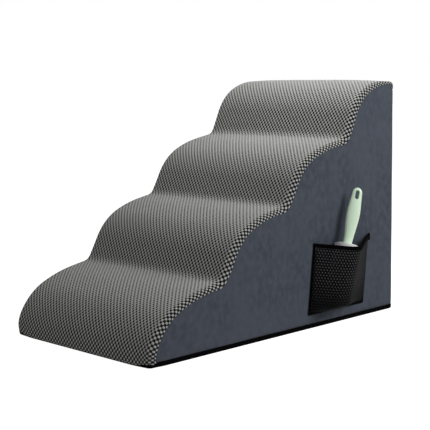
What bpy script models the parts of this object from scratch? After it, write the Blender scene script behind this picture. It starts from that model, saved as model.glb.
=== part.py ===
"""Dog ramp: a foam block with four wave-shaped steps in a zipped fabric cover.

The block is firm foam with a softer layer over the steps. An inner liner slips over both, and the cover
goes round it: spacer mesh over the steps, suede on the sides and back, and a non-slip base with a black
rim. A zip runs along the foot of the back. A mesh pocket on the right side holds a lint roller.

Metres, +Z up. X is the width, and the pocket is on +X. The low front end is at -Y and the tall back at +Y.
The origin is on the floor, at the middle of the ramp's own footprint.
"""

import math

import bmesh
import bpy
from mathutils import Matrix, Vector

# Overall size
WIDTH = 0.400
LENGTH = 0.715
HEIGHT = 0.500
GAP = 0.0003  # left between pieces that touch

# The wave, seen from the side. Runs and rises go from one valley's sharp corner to the next. The fourth
# step takes the height that is left. Headings are in degrees above level.
STEP_RUNS = (0.178, 0.177, 0.187)
STEP_RISES = (0.130, 0.125, 0.126)
TREAD_HEADING = 11.0
RISER_HEADING = 62.0
TOP_RISER_HEADING = 66.0
VALLEY_RADIUS = 0.022
FRONT_CREST = ((0.080, 60.0), (0.125, 25.0), (0.300, TREAD_HEADING))  # radius, heading at the arc's end
STEP_CREST = ((0.120, 25.0), (0.260, TREAD_HEADING))
TOP_CREST = ((0.110, 25.0), (0.150, 0.0))
REAR_RADIUS = 0.012
EDGE_RADIUS = 0.0106  # where the mesh turns over the sides, and at the upright corners
EDGE_FLAT = 0.0008  # of that turn, the flat strip along the seam
ARC_STEP = 8.0  # degrees between the points of an arc
CUT_OVERLAP = 0.001  # how far a cutter reaches past the face that it cuts
WELD_DISTANCE = 0.00001

# Layers, from the outside in
MESH_THICKNESS = 0.003
SUEDE_THICKNESS = 0.002
LINER_THICKNESS = 0.001
LINER_INSET = MESH_THICKNESS + GAP
FOAM_INSET = LINER_INSET + LINER_THICKNESS + GAP
COMFORT_THICKNESS = 0.030
FOAM_FLOOR = 0.0023

# Foot of the cover
BASE_THICKNESS = 0.002
RIM_HEIGHT = 0.010
RIM_RADIUS = 0.004
RIM_THICKNESS = 0.0016
RIM_TURN_IN = 0.006  # how far the rim reaches in under the base
HEM_HEIGHT = 0.0027
HEM_RADIUS = 0.0024
HEM_THICKNESS = 0.0008
MESH_FLOOR = HEM_HEIGHT + GAP
REAR_DROP = 0.004  # how far the mesh comes down the back below the rear corner
REAR_SEAM = HEIGHT - REAR_RADIUS - REAR_DROP

# Zip, along the foot of the back
ZIP_HEIGHT = 0.0173
ZIP_LENGTH = 0.330
TAPE_WIDTH = 0.0067
TAPE_THICKNESS = 0.0008
TAPE_RECESS = 0.0022  # from the back's outer face
TAPE_FACE = LENGTH / 2 - TAPE_RECESS
TEETH_WIDTH = 0.0019
TEETH_THICKNESS = 0.0015
TEETH_FACE = TAPE_FACE + GAP + TEETH_THICKNESS
STOP_LENGTH = 0.003
STOP_ROUNDING = 0.0004
SLIDER_LENGTH = 0.011
SLIDER_WIDTH = 0.0086
SLIDER_CHANNEL = 0.0058
SLIDER_FOOT = TAPE_FACE + 0.0004  # clear of the tapes
SLIDER_CEILING = TEETH_FACE + 0.0005  # clear of the teeth
SLIDER_PLATE = 0.0012
SLIDER_FACE = SLIDER_CEILING + SLIDER_PLATE
SLIDER_ROUNDING = 0.0009
SLIDER_START = -0.158
BRIDGE_LENGTH = 0.008
BRIDGE_WIDTH = 0.002
BRIDGE_WINDOW = (0.004, 0.0022)  # length and height
BRIDGE_BAR = 0.0012
BRIDGE_ROOT = 0.0004  # how far the bridge goes into the slider's plate
BRIDGE_ROUNDING = 0.0010
PULL_LENGTH = 0.027
PULL_WIDTH = 0.007
PULL_THICKNESS = 0.0012
PULL_CROSSBAR = 0.0014
PULL_CORNER = 0.0018
PULL_EYE = (0.0039, 0.0028)  # length and width
LABEL_SIZE = (0.030, 0.0004, 0.040)
LABEL_PLACE = (-0.060, 0.052)  # x and z of its middle

# Pocket, sewn on the right side. Its sides lean towards the back.
POCKET_FRONT = 0.067  # y of its lower front corner
POCKET_FLOOR = 0.0295
POCKET_WIDTH = 0.180
POCKET_HEIGHT = 0.145
POCKET_LEAN = math.radians(6.6)
POCKET_DIP = 0.009  # how far the mouth sags at its middle
POCKET_CLOTH = 0.001
MOUTH_BINDING_HEIGHT = 0.008
MOUTH_BINDING_THICKNESS = 0.0022
EDGE_BINDING_WIDTH = 0.006
EDGE_BINDING_THICKNESS = 0.0015

# Lint roller. It leans towards the back, and its lengths run up its own axis from the roll's lower end.
ROLL_RADIUS = 0.026
ROLL_LENGTH = 0.108
ROLL_FOOT = Vector((WIDTH / 2 + 0.0285, 0.1247, 0.063))
ROLLER_LEAN = math.radians(17.5)
ROLLER_TURN = math.radians(-40.0)  # the handle's broad face, turned from +X towards the front
CLOTH_CLEARANCE = 0.0015
SHEETS_INNER = 0.0208
CORE_RADII = (0.0190, 0.0205)
DRUM_RADIUS = 0.0187
DRUM_WALL = 0.0016
DRUM_FLANGE = 0.0205
FLANGE_THICKNESS = 0.0015
HUB_RADII = (0.0030, 0.0050)
HUB_FOOT = 0.020
AXLE_RADIUS = 0.0025
AXLE_HEAD_RADIUS = 0.0040
AXLE_HEAD_LENGTH = 0.003
AXLE_TOP = 0.124
CAP_PLUG_LENGTH = 0.005
HANDLE_FOOT = ROLL_LENGTH + 0.0022  # clear of the drum's flange
HANDLE_LENGTH = 0.118
GRIP_WIDEST = 0.52  # share of the handle's length
NECK_WIDTH = 0.0185
GRIP_WIDTH = 0.0280
TIP_WIDTH = 0.0200
GRIP_THICKNESS = 0.013
TIP_THICKNESS = 0.008
HANG_HOLE = (0.0085, 0.019)  # width and length
HANG_HOLE_TO_TIP = 0.0150  # from the hole's middle

COLOURS = {  # linear colour, roughness, metallic
    "foam": ((0.85, 0.80, 0.66), 0.9, 0.0),
    "soft_foam": ((0.90, 0.88, 0.82), 0.9, 0.0),
    "liner": ((0.80, 0.80, 0.80), 0.7, 0.0),
    "spacer_mesh": ((0.23, 0.23, 0.22), 0.85, 0.0),
    "suede": ((0.072, 0.083, 0.106), 0.9, 0.0),
    "base_fabric": ((0.012, 0.012, 0.013), 0.8, 0.0),
    "zip_black": ((0.015, 0.015, 0.016), 0.5, 0.0),
    "zip_metal": ((0.10, 0.10, 0.11), 0.35, 1.0),
    "label": ((0.80, 0.80, 0.78), 0.8, 0.0),
    "pocket_black": ((0.011, 0.011, 0.013), 0.75, 0.0),
    "green_plastic": ((0.50, 0.68, 0.49), 0.35, 0.0),
    "white_plastic": ((0.82, 0.82, 0.80), 0.4, 0.0),
    "steel": ((0.60, 0.60, 0.62), 0.3, 1.0),
    "cardboard": ((0.42, 0.33, 0.23), 0.9, 0.0),
    "sheets": ((0.86, 0.86, 0.84), 0.6, 0.0),
}


# Scene and objects


def clear_scene():
    for old in list(bpy.data.objects):
        bpy.data.objects.remove(old, do_unlink=True)


def make_collection(name):
    collection = bpy.data.collections.new(name)
    bpy.context.scene.collection.children.link(collection)
    return collection


def make_material(name):
    colour, roughness, metallic = COLOURS[name]
    material = bpy.data.materials.new(name)
    material.use_nodes = True
    shader = material.node_tree.nodes["Principled BSDF"]
    shader.inputs["Base Color"].default_value = (*colour, 1.0)
    shader.inputs["Roughness"].default_value = roughness
    shader.inputs["Metallic"].default_value = metallic
    material.diffuse_color = (*colour, 1.0)
    return material


def add_part(name, mesh, colour):
    """Put a finished mesh in the ramp's collection, under its name and in its colour."""
    mesh.name = name
    mesh.materials.clear()
    mesh.materials.append(bpy.data.materials.get(colour) or make_material(colour))
    part = bpy.data.objects.new(name, mesh)
    bpy.data.collections["dog_ramp"].objects.link(part)
    return part


def add_cutter(name, mesh):
    cutter = bpy.data.objects.new(name, mesh)
    bpy.data.collections["cutters"].objects.link(cutter)
    cutter.hide_render = True
    cutter.display_type = "WIRE"
    return cutter


def add_boolean(part, cutter, operation):
    modifier = part.modifiers.new(operation.lower() + "_" + cutter.name, "BOOLEAN")
    modifier.operation = operation
    modifier.object = cutter
    modifier.solver = "EXACT"


def add_bevel(part, width, segments=2):
    modifier = part.modifiers.new("rounded_edges", "BEVEL")
    modifier.width = width
    modifier.segments = segments
    modifier.limit_method = "ANGLE"
    modifier.angle_limit = math.radians(50)


def add_thickness(part, thickness, outward=False):
    modifier = part.modifiers.new("thickness", "SOLIDIFY")
    modifier.thickness = thickness
    modifier.offset = 1.0 if outward else -1.0
    modifier.use_even_offset = True


# Meshes


def box_mesh(size, centre):
    edit = bmesh.new()
    bmesh.ops.create_cube(edit, size=1.0, matrix=Matrix.Translation(centre) @ Matrix.Diagonal((*size, 1.0)))
    mesh = bpy.data.meshes.new("box")
    edit.to_mesh(mesh)
    edit.free()
    return mesh


def span_box_mesh(low, high):
    """Box between two opposite corners."""
    low, high = Vector(low), Vector(high)
    return box_mesh(high - low, (low + high) / 2)


def slab_mesh(outlines, thickness, across="X"):
    """Flat slab from closed outlines. Across X, an outline is (y, z); across Z, it is (x, y)."""
    curve = bpy.data.curves.new("outline", "CURVE")
    curve.dimensions = "2D"
    curve.fill_mode = "BOTH"
    curve.extrude = thickness / 2
    for outline in outlines:
        spline = curve.splines.new("POLY")
        spline.points.add(len(outline) - 1)
        for point, (a, b) in zip(spline.points, outline):
            point.co = (a, b, 0.0, 1.0)
        spline.use_cyclic_u = True
    shape = bpy.data.objects.new("outline", curve)
    bpy.data.collections["cutters"].objects.link(shape)
    mesh = bpy.data.meshes.new_from_object(shape.evaluated_get(bpy.context.evaluated_depsgraph_get()))
    bpy.data.objects.remove(shape)
    edit = bmesh.new()
    edit.from_mesh(mesh)
    bmesh.ops.remove_doubles(edit, verts=edit.verts, dist=WELD_DISTANCE)
    bmesh.ops.dissolve_limit(
        edit,
        angle_limit=math.radians(0.05),
        verts=edit.verts,
        edges=edit.edges,
        use_dissolve_boundaries=False,
    )
    if across == "X":
        turn = Matrix(((0, 0, 1, 0), (1, 0, 0, 0), (0, 1, 0, 0), (0, 0, 0, 1)))
        bmesh.ops.transform(edit, matrix=turn, verts=edit.verts)
    bmesh.ops.recalc_face_normals(edit, faces=edit.faces)
    edit.to_mesh(mesh)
    edit.free()
    return mesh


def formed_sheet(columns, rows, place):
    """Open sheet from a flat grid, with each of its points put where place(column, row) says."""
    edit = bmesh.new()
    bmesh.ops.create_grid(edit, x_segments=columns - 1, y_segments=rows - 1, size=0.5)
    for vertex in edit.verts:
        column = round((vertex.co.x + 0.5) * (columns - 1))
        row = round((vertex.co.y + 0.5) * (rows - 1))
        vertex.co = place(column, row)
    mesh = bpy.data.meshes.new("sheet")
    edit.to_mesh(mesh)
    edit.free()
    return mesh


def turned_part(name, profile, colour, closed=False, segments=24):
    """Piece turned about Z from a profile of (radius, height), which runs down its outer side."""
    edit = bmesh.new()
    points = [edit.verts.new((radius, 0.0, height)) for radius, height in profile]
    for first, second in zip(points, points[1:]):
        edit.edges.new((first, second))
    if closed:
        edit.edges.new((points[-1], points[0]))
    mesh = bpy.data.meshes.new(name)
    edit.to_mesh(mesh)
    edit.free()
    part = add_part(name, mesh, colour)
    screw = part.modifiers.new("turned", "SCREW")
    screw.steps = segments
    screw.render_steps = segments
    screw.use_merge_vertices = True
    screw.merge_threshold = WELD_DISTANCE
    screw.use_smooth_shade = True
    return part


# Paths. A station is a point of a path and the path's heading there, in degrees.


def direction(heading):
    return Vector((math.cos(math.radians(heading)), math.sin(math.radians(heading))))


def outward(heading):
    """Unit vector to the left of a heading. The ramp lies to the right of all its paths."""
    return Vector((-math.sin(math.radians(heading)), math.cos(math.radians(heading))))


def arc_move(radius, start, end):
    """Move along an arc that turns from one heading to another, to either side."""
    side = math.copysign(radius, start - end)
    return side * (outward(end) - outward(start))


def run_straight(path, length):
    point, heading = path[-1]
    path.append((point + length * direction(heading), heading))


def run_arc(path, radius, end):
    point, start = path[-1]
    steps = math.ceil(abs(end - start) / ARC_STEP)
    for step in range(1, steps + 1):
        heading = start + (end - start) * step / steps
        path.append((point + arc_move(radius, start, heading), heading))


def offset_points(path, inset):
    """The points of a path, moved in from the outside by inset."""
    return [point - inset * outward(heading) for point, heading in path]


def crest_move(heading, crest):
    """Move over a crest's arcs, which begin at the given heading."""
    move = Vector((0.0, 0.0))
    for radius, end in crest:
        move += arc_move(radius, heading, end)
        heading = end
    return move


def straight_lengths(move, riser, crest, tread):
    """Lengths of the riser and the tread that, with a crest between them, make the given move."""
    left = Vector(move) - crest_move(riser, crest)
    up, along = direction(riser), direction(tread)
    determinant = up.x * along.y - up.y * along.x
    riser_length = (left.x * along.y - left.y * along.x) / determinant
    tread_length = (up.x * left.y - up.y * left.x) / determinant
    return riser_length, tread_length


def run_step(path, move, crest, next_riser):
    """Riser, crest and tread of one step, and the valley before the next riser."""
    riser = path[-1][1]
    riser_length, tread_length = straight_lengths(move, riser, crest, TREAD_HEADING)
    if riser < 90:
        riser_length -= valley_tangent(riser)
    run_straight(path, riser_length)
    for radius, end in crest:
        run_arc(path, radius, end)
    run_straight(path, tread_length - valley_tangent(next_riser))
    run_arc(path, VALLEY_RADIUS, next_riser)


def valley_tangent(riser):
    """From a valley's sharp corner to where its arc begins."""
    return VALLEY_RADIUS * math.tan(math.radians(riser - TREAD_HEADING) / 2)


def wave_path():
    """The ramp's outer profile in (y, z), from the foot of the front to the start of the rear corner."""
    path = [(Vector((-LENGTH / 2, 0.0)), 90.0)]
    moves = list(zip(STEP_RUNS, STEP_RISES))
    run_step(path, moves[0], FRONT_CREST, RISER_HEADING)
    run_step(path, moves[1], STEP_CREST, RISER_HEADING)
    run_step(path, moves[2], STEP_CREST, TOP_RISER_HEADING)
    climb = HEIGHT - path[-1][0].y - crest_move(TOP_RISER_HEADING, TOP_CREST).y
    run_straight(path, climb / direction(TOP_RISER_HEADING).y)
    for radius, end in TOP_CREST:
        run_arc(path, radius, end)
    run_straight(path, LENGTH / 2 - REAR_RADIUS - path[-1][0].x)
    return path


def cover_path():
    """The profile that the mesh panel follows: the wave, the rear corner and a short drop down the back."""
    path = wave_path()
    path[0] = (Vector((-LENGTH / 2, MESH_FLOOR)), 90.0)
    run_arc(path, REAR_RADIUS, -90.0)
    run_straight(path, REAR_DROP)
    return path


def block_outline(inset, floor):
    """Closed outline of the whole block, moved in by less than the rear corner's radius."""
    points = offset_points(cover_path(), inset)
    points[0].y = floor
    points[-1].y = floor
    return points


def inner_wave(inset, floor):
    """The wave moved in by more than the rear corner's radius, out to the foam's back face."""
    points = offset_points(wave_path(), inset)
    points[0].y = floor
    points[-1].x = LENGTH / 2 - FOAM_INSET
    return points


# Foam and liner


def make_foam_base():
    outline = inner_wave(FOAM_INSET + COMFORT_THICKNESS + GAP, FOAM_FLOOR)
    outline.append(Vector((outline[-1].x, FOAM_FLOOR)))
    mesh = slab_mesh([outline], WIDTH - 2 * FOAM_INSET)
    part = add_part("foam_base", mesh, "foam")
    add_bevel(part, EDGE_RADIUS - FOAM_INSET)


def make_comfort_foam():
    outer = offset_points(cover_path(), FOAM_INSET)[:-1]
    outer[0].y = FOAM_FLOOR
    inner = inner_wave(FOAM_INSET + COMFORT_THICKNESS, FOAM_FLOOR)
    mesh = slab_mesh([outer + inner[::-1]], WIDTH - 2 * FOAM_INSET)
    part = add_part("comfort_foam", mesh, "soft_foam")
    add_bevel(part, EDGE_RADIUS - FOAM_INSET)


def make_inner_liner():
    mesh = slab_mesh([block_outline(LINER_INSET, FOAM_FLOOR)], WIDTH - 2 * LINER_INSET)
    edit = bmesh.new()
    edit.from_mesh(mesh)
    underside = [face for face in edit.faces if face.normal.z < -0.99]
    bmesh.ops.delete(edit, geom=underside, context="FACES_ONLY")
    edit.to_mesh(mesh)
    edit.free()
    part = add_part("inner_liner", mesh, "liner")
    add_bevel(part, EDGE_RADIUS - LINER_INSET)
    add_thickness(part, LINER_THICKNESS)


# Cover


def cross_section(steps=3):
    """Stations across the mesh panel: the distance from the middle, and how far in the panel has turned."""
    left = [(-WIDTH / 2, EDGE_RADIUS)]
    radius = EDGE_RADIUS - EDGE_FLAT
    for step in range(steps + 1):
        angle = math.pi / 2 * (1 - step / steps)
        left.append((-WIDTH / 2 + radius * (1 - math.sin(angle)), radius * (1 - math.cos(angle))))
    return left + [(-across, depth) for across, depth in reversed(left)]


def make_tread_panel():
    path = cover_path()
    section = cross_section()

    def place(column, row):
        point, heading = path[row]
        across, depth = section[column]
        inward = point - depth * outward(heading)
        return Vector((across, inward.x, inward.y))

    part = add_part("tread_panel", formed_sheet(len(section), len(path), place), "spacer_mesh")
    add_thickness(part, MESH_THICKNESS)


def side_wall_sheet(side, low, high):
    """Upright sheet along one side of the cover and round its rear corner."""
    path = [(Vector((-LENGTH / 2 + EDGE_RADIUS + GAP, 0.0)), 0.0)]
    run_straight(path, LENGTH - 2 * EDGE_RADIUS - GAP)
    run_arc(path, EDGE_RADIUS, -90.0)

    def place(column, row):
        along, inward = path[column][0]
        return Vector((side * (WIDTH / 2 + inward), along, high if row else low))

    mesh = formed_sheet(len(path), 2, place)
    if side < 0:
        mesh.flip_normals()
    return mesh


def make_side_panel(name, side, window):
    sheet = side_wall_sheet(side, RIM_HEIGHT + GAP, HEIGHT)
    part = add_part(name, sheet, "suede")
    add_thickness(part, SUEDE_THICKNESS)
    add_boolean(part, window, "INTERSECT")


def side_panel_window():
    """Prism that trims the side panels to the seam under the mesh's edge."""
    outline = offset_points(cover_path(), EDGE_RADIUS + GAP)
    outline[0].y = 0.0
    beyond = LENGTH / 2 + CUT_OVERLAP
    seam = REAR_SEAM - GAP
    outline += [Vector((outline[-1].x, seam)), Vector((beyond, seam)), Vector((beyond, 0.0))]
    return add_cutter("side_panel_window", slab_mesh([outline], WIDTH + 2 * CUT_OVERLAP))


def make_back_panel():
    half = WIDTH / 2 - EDGE_RADIUS - GAP
    low = (-half, LENGTH / 2 - SUEDE_THICKNESS, ZIP_HEIGHT + GAP + TAPE_WIDTH + GAP)
    high = (half, LENGTH / 2, REAR_SEAM - GAP)
    add_part("back_panel", span_box_mesh(low, high), "suede")


def rounded_rectangle(half_x, half_y, radius, steps=5):
    points = []
    for quarter, (side_x, side_y) in enumerate(((1, 1), (-1, 1), (-1, -1), (1, -1))):
        centre_x = side_x * (half_x - radius)
        centre_y = side_y * (half_y - radius)
        for step in range(steps + 1):
            turn = direction(90 * (quarter + step / steps))
            points.append((centre_x + radius * turn.x, centre_y + radius * turn.y))
    return points


def make_base_panel():
    inset = RIM_TURN_IN + GAP
    outline = rounded_rectangle(WIDTH / 2 - inset, LENGTH / 2 - inset, EDGE_RADIUS - RIM_RADIUS)
    mesh = slab_mesh([outline], BASE_THICKNESS, across="Z")
    part = add_part("base_panel", mesh, "base_fabric")
    part.location.z = BASE_THICKNESS / 2


def foot_section(height, radius, steps=3):
    """Section of a band at the cover's foot, as (distance in, height): down, round and in under the base."""
    section = [(0.0, height)]
    for step in range(steps + 1):
        angle = math.pi / 2 * step / steps
        section.append((radius * (1 - math.cos(angle)), radius * (1 - math.sin(angle))))
    section.append((RIM_TURN_IN, 0.0))
    return section


def make_foot_band(name, path, section, thickness):
    """Band along a plan path of (point, heading), with the ramp on the right of the path."""

    def place(column, row):
        point, heading = path[column]
        distance, height = section[row]
        plan = point - distance * outward(heading)
        return Vector((plan.x, plan.y, height))

    mesh = formed_sheet(len(path), len(section), place)
    part = add_part(name, mesh, "base_fabric")
    add_thickness(part, thickness)


def make_foot_bands():
    rim = foot_section(RIM_HEIGHT, RIM_RADIUS)
    side_x, seam_y = WIDTH / 2, LENGTH / 2 - EDGE_RADIUS
    right = [(Vector((side_x - EDGE_RADIUS, LENGTH / 2)), 0.0)]
    run_arc(right, EDGE_RADIUS, -90.0)
    run_straight(right, 2 * seam_y - GAP)
    make_foot_band("base_rim_right", right, rim, RIM_THICKNESS)
    left = [(Vector((-side_x, -seam_y + GAP)), 90.0)]
    run_straight(left, 2 * seam_y - GAP)
    run_arc(left, EDGE_RADIUS, 0.0)
    make_foot_band("base_rim_left", left, rim, RIM_THICKNESS)
    back = [(Vector((-side_x + EDGE_RADIUS + GAP, LENGTH / 2)), 0.0)]
    run_straight(back, WIDTH - 2 * EDGE_RADIUS - 2 * GAP)
    make_foot_band("base_rim_back", back, rim, RIM_THICKNESS)
    front = [(Vector((side_x, -seam_y)), -90.0)]
    run_arc(front, EDGE_RADIUS, -180.0)
    run_straight(front, WIDTH - 2 * EDGE_RADIUS)
    run_arc(front, EDGE_RADIUS, -270.0)
    make_foot_band("front_hem", front, foot_section(HEM_HEIGHT, HEM_RADIUS), HEM_THICKNESS)


# Zip


def make_zip_tapes_and_teeth():
    tape_half = WIDTH / 2 - EDGE_RADIUS - GAP
    for name, side in (("upper", 1), ("lower", -1)):
        tape_edges = sorted((ZIP_HEIGHT + side * GAP, ZIP_HEIGHT + side * (GAP + TAPE_WIDTH)))
        low = (-tape_half, TAPE_FACE - TAPE_THICKNESS, tape_edges[0])
        high = (tape_half, TAPE_FACE, tape_edges[1])
        add_part("zip_tape_" + name, span_box_mesh(low, high), "zip_black")
        teeth_edges = sorted((ZIP_HEIGHT + side * GAP / 2, ZIP_HEIGHT + side * (GAP / 2 + TEETH_WIDTH)))
        low = (-ZIP_LENGTH / 2, TAPE_FACE + GAP, teeth_edges[0])
        high = (ZIP_LENGTH / 2, TEETH_FACE, teeth_edges[1])
        add_part("zip_teeth_" + name, span_box_mesh(low, high), "zip_black")


def make_zip_stops():
    size = (STOP_LENGTH, TEETH_THICKNESS, 2 * TEETH_WIDTH)
    for name, side in (("right", 1), ("left", -1)):
        x = side * (ZIP_LENGTH / 2 + GAP + STOP_LENGTH / 2)
        centre = (x, TAPE_FACE + GAP + TEETH_THICKNESS / 2, ZIP_HEIGHT)
        part = add_part("zip_stop_" + name, box_mesh(size, centre), "zip_metal")
        add_bevel(part, STOP_ROUNDING)


def slider_block(length, height, near, far):
    """Block on the slider's own middle, between two distances along Y."""
    return box_mesh((length, far - near, height), (0.0, (near + far) / 2, 0.0))


def make_zip_slider():
    """Channel that rides over the teeth, with a bridge on it for the pull."""
    body = slider_block(SLIDER_LENGTH, SLIDER_WIDTH, SLIDER_FOOT, SLIDER_FACE)
    slider = add_part("zip_slider", body, "zip_metal")
    slider.location = (SLIDER_START, 0.0, ZIP_HEIGHT)
    channel = slider_block(SLIDER_LENGTH * 2, SLIDER_CHANNEL, SLIDER_FOOT - CUT_OVERLAP, SLIDER_CEILING)
    window_length, window_height = BRIDGE_WINDOW
    window_top = SLIDER_FACE + window_height
    bridge = slider_block(BRIDGE_LENGTH, BRIDGE_WIDTH, SLIDER_FACE - BRIDGE_ROOT, window_top + BRIDGE_BAR)
    window = slider_block(window_length, BRIDGE_WIDTH * 2, SLIDER_FACE, window_top)
    rounded_bridge = add_cutter("bridge", bridge)
    add_bevel(rounded_bridge, BRIDGE_ROUNDING, segments=3)
    add_bevel(slider, SLIDER_ROUNDING, segments=3)
    for cutter, operation in (
        (add_cutter("channel", channel), "DIFFERENCE"),
        (rounded_bridge, "UNION"),
        (add_cutter("bridge_window", window), "DIFFERENCE"),
    ):
        cutter.location = slider.location
        add_boolean(slider, cutter, operation)
    return slider


def make_zip_pull(slider):
    """Flat tab. Its crossbar sits in the slider's bridge and is the pull's hinge."""
    half_bar, eye_length, eye_width = PULL_CROSSBAR / 2, *PULL_EYE
    middle = PULL_LENGTH / 2 - half_bar
    tab = [(x + middle, z) for x, z in rounded_rectangle(PULL_LENGTH / 2, PULL_WIDTH / 2, PULL_CORNER)]
    eye = [
        (half_bar, -eye_width / 2),
        (half_bar + eye_length, -eye_width / 2),
        (half_bar + eye_length, eye_width / 2),
        (half_bar, eye_width / 2),
    ]
    pull = add_part("zip_pull", slab_mesh([tab, eye], PULL_THICKNESS, across="Z"), "zip_metal")
    pull.parent = slider
    pull.location = (0.0, SLIDER_FACE + BRIDGE_WINDOW[1] / 2, 0.0)
    pull.rotation_euler.x = math.radians(90)


def make_care_label():
    x, z = LABEL_PLACE
    centre = (x, LENGTH / 2 + GAP + LABEL_SIZE[1] / 2, z)
    add_part("care_label", box_mesh(LABEL_SIZE, centre), "label")


# Pocket


def pocket_edges(height):
    """The y of the pocket's front and rear edge at a height above its floor."""
    front = POCKET_FRONT + height * math.tan(POCKET_LEAN)
    return front, front + POCKET_WIDTH


def roll_centre(z):
    """The y of the roller's axis at a height."""
    return ROLL_FOOT.y + (z - ROLL_FOOT.z) * math.tan(ROLLER_LEAN)


def taut_section(front, centre, rear, radius, arc_steps=10, flat_steps=5):
    """Cloth pulled from two edges over a cylinder against the panel, as points (y, distance out)."""
    front_angle = 2 * math.atan(radius / (centre - front))
    rear_angle = 2 * math.atan(radius / (rear - centre))
    reach_front, reach_rear = centre - front, rear - centre
    points = []
    for step in range(flat_steps):
        along = reach_front * step / flat_steps
        points.append((front + along * math.cos(front_angle), along * math.sin(front_angle)))
    for step in range(arc_steps + 1):
        angle = -front_angle + (front_angle + rear_angle) * step / arc_steps
        points.append((centre + radius * math.sin(angle), radius + radius * math.cos(angle)))
    for step in range(flat_steps - 1, -1, -1):
        along = reach_rear * step / flat_steps
        points.append((rear - along * math.cos(rear_angle), along * math.sin(rear_angle)))
    return points


def make_pocket_cloth(name, low, high, rows, trim, thickness):
    """Band of the pocket between two heights above its floor, kept clear of the edge binding by trim."""
    clear_radius = ROLL_RADIUS / math.cos(ROLLER_LEAN) + CLOTH_CLEARANCE
    full_out = ROLL_FOOT.z - ROLL_RADIUS * math.sin(ROLLER_LEAN) - POCKET_FLOOR

    def section(row):
        height = low + (high - low) * row / (rows - 1)
        front, rear = pocket_edges(height)
        fullness = min(1.0, height / full_out)
        level = POCKET_FLOOR + max(height, full_out)
        points = taut_section(front + trim, roll_centre(level), rear - trim, clear_radius)
        sag = POCKET_DIP * height / POCKET_HEIGHT / (2 * clear_radius)  # for each metre out
        return [
            Vector((WIDTH / 2 + GAP + fullness * out, y, POCKET_FLOOR + height - sag * out))
            for y, out in points
        ]

    sections = [section(row) for row in range(rows)]
    mesh = formed_sheet(len(sections[0]), rows, lambda column, row: sections[row][column])
    part = add_part(name, mesh, "pocket_black")
    add_thickness(part, thickness, outward=True)


def make_pocket():
    binding_foot = POCKET_HEIGHT - MOUTH_BINDING_HEIGHT
    trim = EDGE_BINDING_WIDTH + POCKET_CLOTH + GAP  # the cloth's cut edge is as wide as it is thick
    make_pocket_cloth("pocket_mesh", trim, binding_foot - GAP, 12, trim, POCKET_CLOTH)
    make_pocket_cloth("pocket_mouth_binding", binding_foot, POCKET_HEIGHT, 3, 0.0, MOUTH_BINDING_THICKNESS)
    make_pocket_edge_binding(binding_foot - GAP)


def make_pocket_edge_binding(top):
    """U of tape, flat on the side panel, round the pocket's front, bottom and rear edges."""

    def corner(height, rear, inset):
        y = pocket_edges(height)[rear] + (-inset if rear else inset)
        return (y, POCKET_FLOOR + height)

    width = EDGE_BINDING_WIDTH
    outline = [
        corner(top, 0, 0),
        corner(0, 0, 0),
        corner(0, 1, 0),
        corner(top, 1, 0),
        corner(top, 1, width),
        corner(width, 1, width),
        corner(width, 0, width),
        corner(top, 0, width),
    ]
    part = add_part("pocket_edge_binding", slab_mesh([outline], EDGE_BINDING_THICKNESS), "pocket_black")
    part.location.x = WIDTH / 2 + GAP + EDGE_BINDING_THICKNESS / 2


# Lint roller


def make_roller_frame():
    """Empty on the roller's axis, at the roll's lower end. Its Z runs up the axis."""
    frame = bpy.data.objects.new("roller_frame", None)
    bpy.data.collections["dog_ramp"].objects.link(frame)
    frame.location = ROLL_FOOT
    frame.rotation_euler.x = -ROLLER_LEAN
    return frame


def make_roll_and_drum(frame):
    inner, outer = CORE_RADII
    flange_foot = ROLL_LENGTH + GAP
    flange_top = flange_foot + FLANGE_THICKNESS
    hub_inner, hub_outer = HUB_RADII
    drum_inner = DRUM_RADIUS - DRUM_WALL
    plug_radius = drum_inner - GAP
    sheets = tube_profile(SHEETS_INNER, ROLL_RADIUS, 0.0, ROLL_LENGTH)
    core = tube_profile(inner, outer, 0.0, ROLL_LENGTH)
    parts = [
        turned_part("adhesive_sheets", sheets, "sheets", closed=True, segments=40),
        turned_part("paper_core", core, "cardboard", closed=True),
        turned_part(
            "roller_drum",
            [
                (hub_inner, flange_top),
                (DRUM_FLANGE, flange_top),
                (DRUM_FLANGE, flange_foot),
                (DRUM_RADIUS, flange_foot),
                (DRUM_RADIUS, DRUM_WALL),
                (drum_inner, DRUM_WALL),
                (drum_inner, ROLL_LENGTH - DRUM_WALL),
                (hub_outer, ROLL_LENGTH - DRUM_WALL),
                (hub_outer, HUB_FOOT),
                (hub_inner, HUB_FOOT),
            ],
            "white_plastic",
            closed=True,
        ),
        turned_part(
            "drum_end_cap",
            [
                (0.0, -GAP),
                (plug_radius - DRUM_WALL, -GAP),
                (plug_radius - DRUM_WALL, CAP_PLUG_LENGTH),
                (plug_radius, CAP_PLUG_LENGTH),
                (plug_radius, -GAP),
                (DRUM_FLANGE, -GAP),
                (DRUM_FLANGE, -GAP - FLANGE_THICKNESS),
                (0.0, -GAP - FLANGE_THICKNESS),
            ],
            "white_plastic",
        ),
    ]
    for part in parts:
        part.parent = frame


def tube_profile(inner, outer, low, high):
    return [(inner, high), (outer, high), (outer, low), (inner, low)]


def make_roller_axle(frame):
    head_top = HUB_FOOT - AXLE_HEAD_LENGTH
    profile = [
        (0.0, AXLE_TOP),
        (AXLE_RADIUS, AXLE_TOP),
        (AXLE_RADIUS, head_top),
        (AXLE_HEAD_RADIUS, head_top),
        (AXLE_HEAD_RADIUS, head_top - AXLE_HEAD_LENGTH),
        (0.0, head_top - AXLE_HEAD_LENGTH),
    ]
    part = turned_part("roller_axle", profile, "steel", segments=20)
    part.parent = frame


def ease(start, end, value):
    """Smooth blend from 0 at start to 1 at end."""
    t = min(1.0, max(0.0, (value - start) / (end - start)))
    return t * t * (3 - 2 * t)


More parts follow.
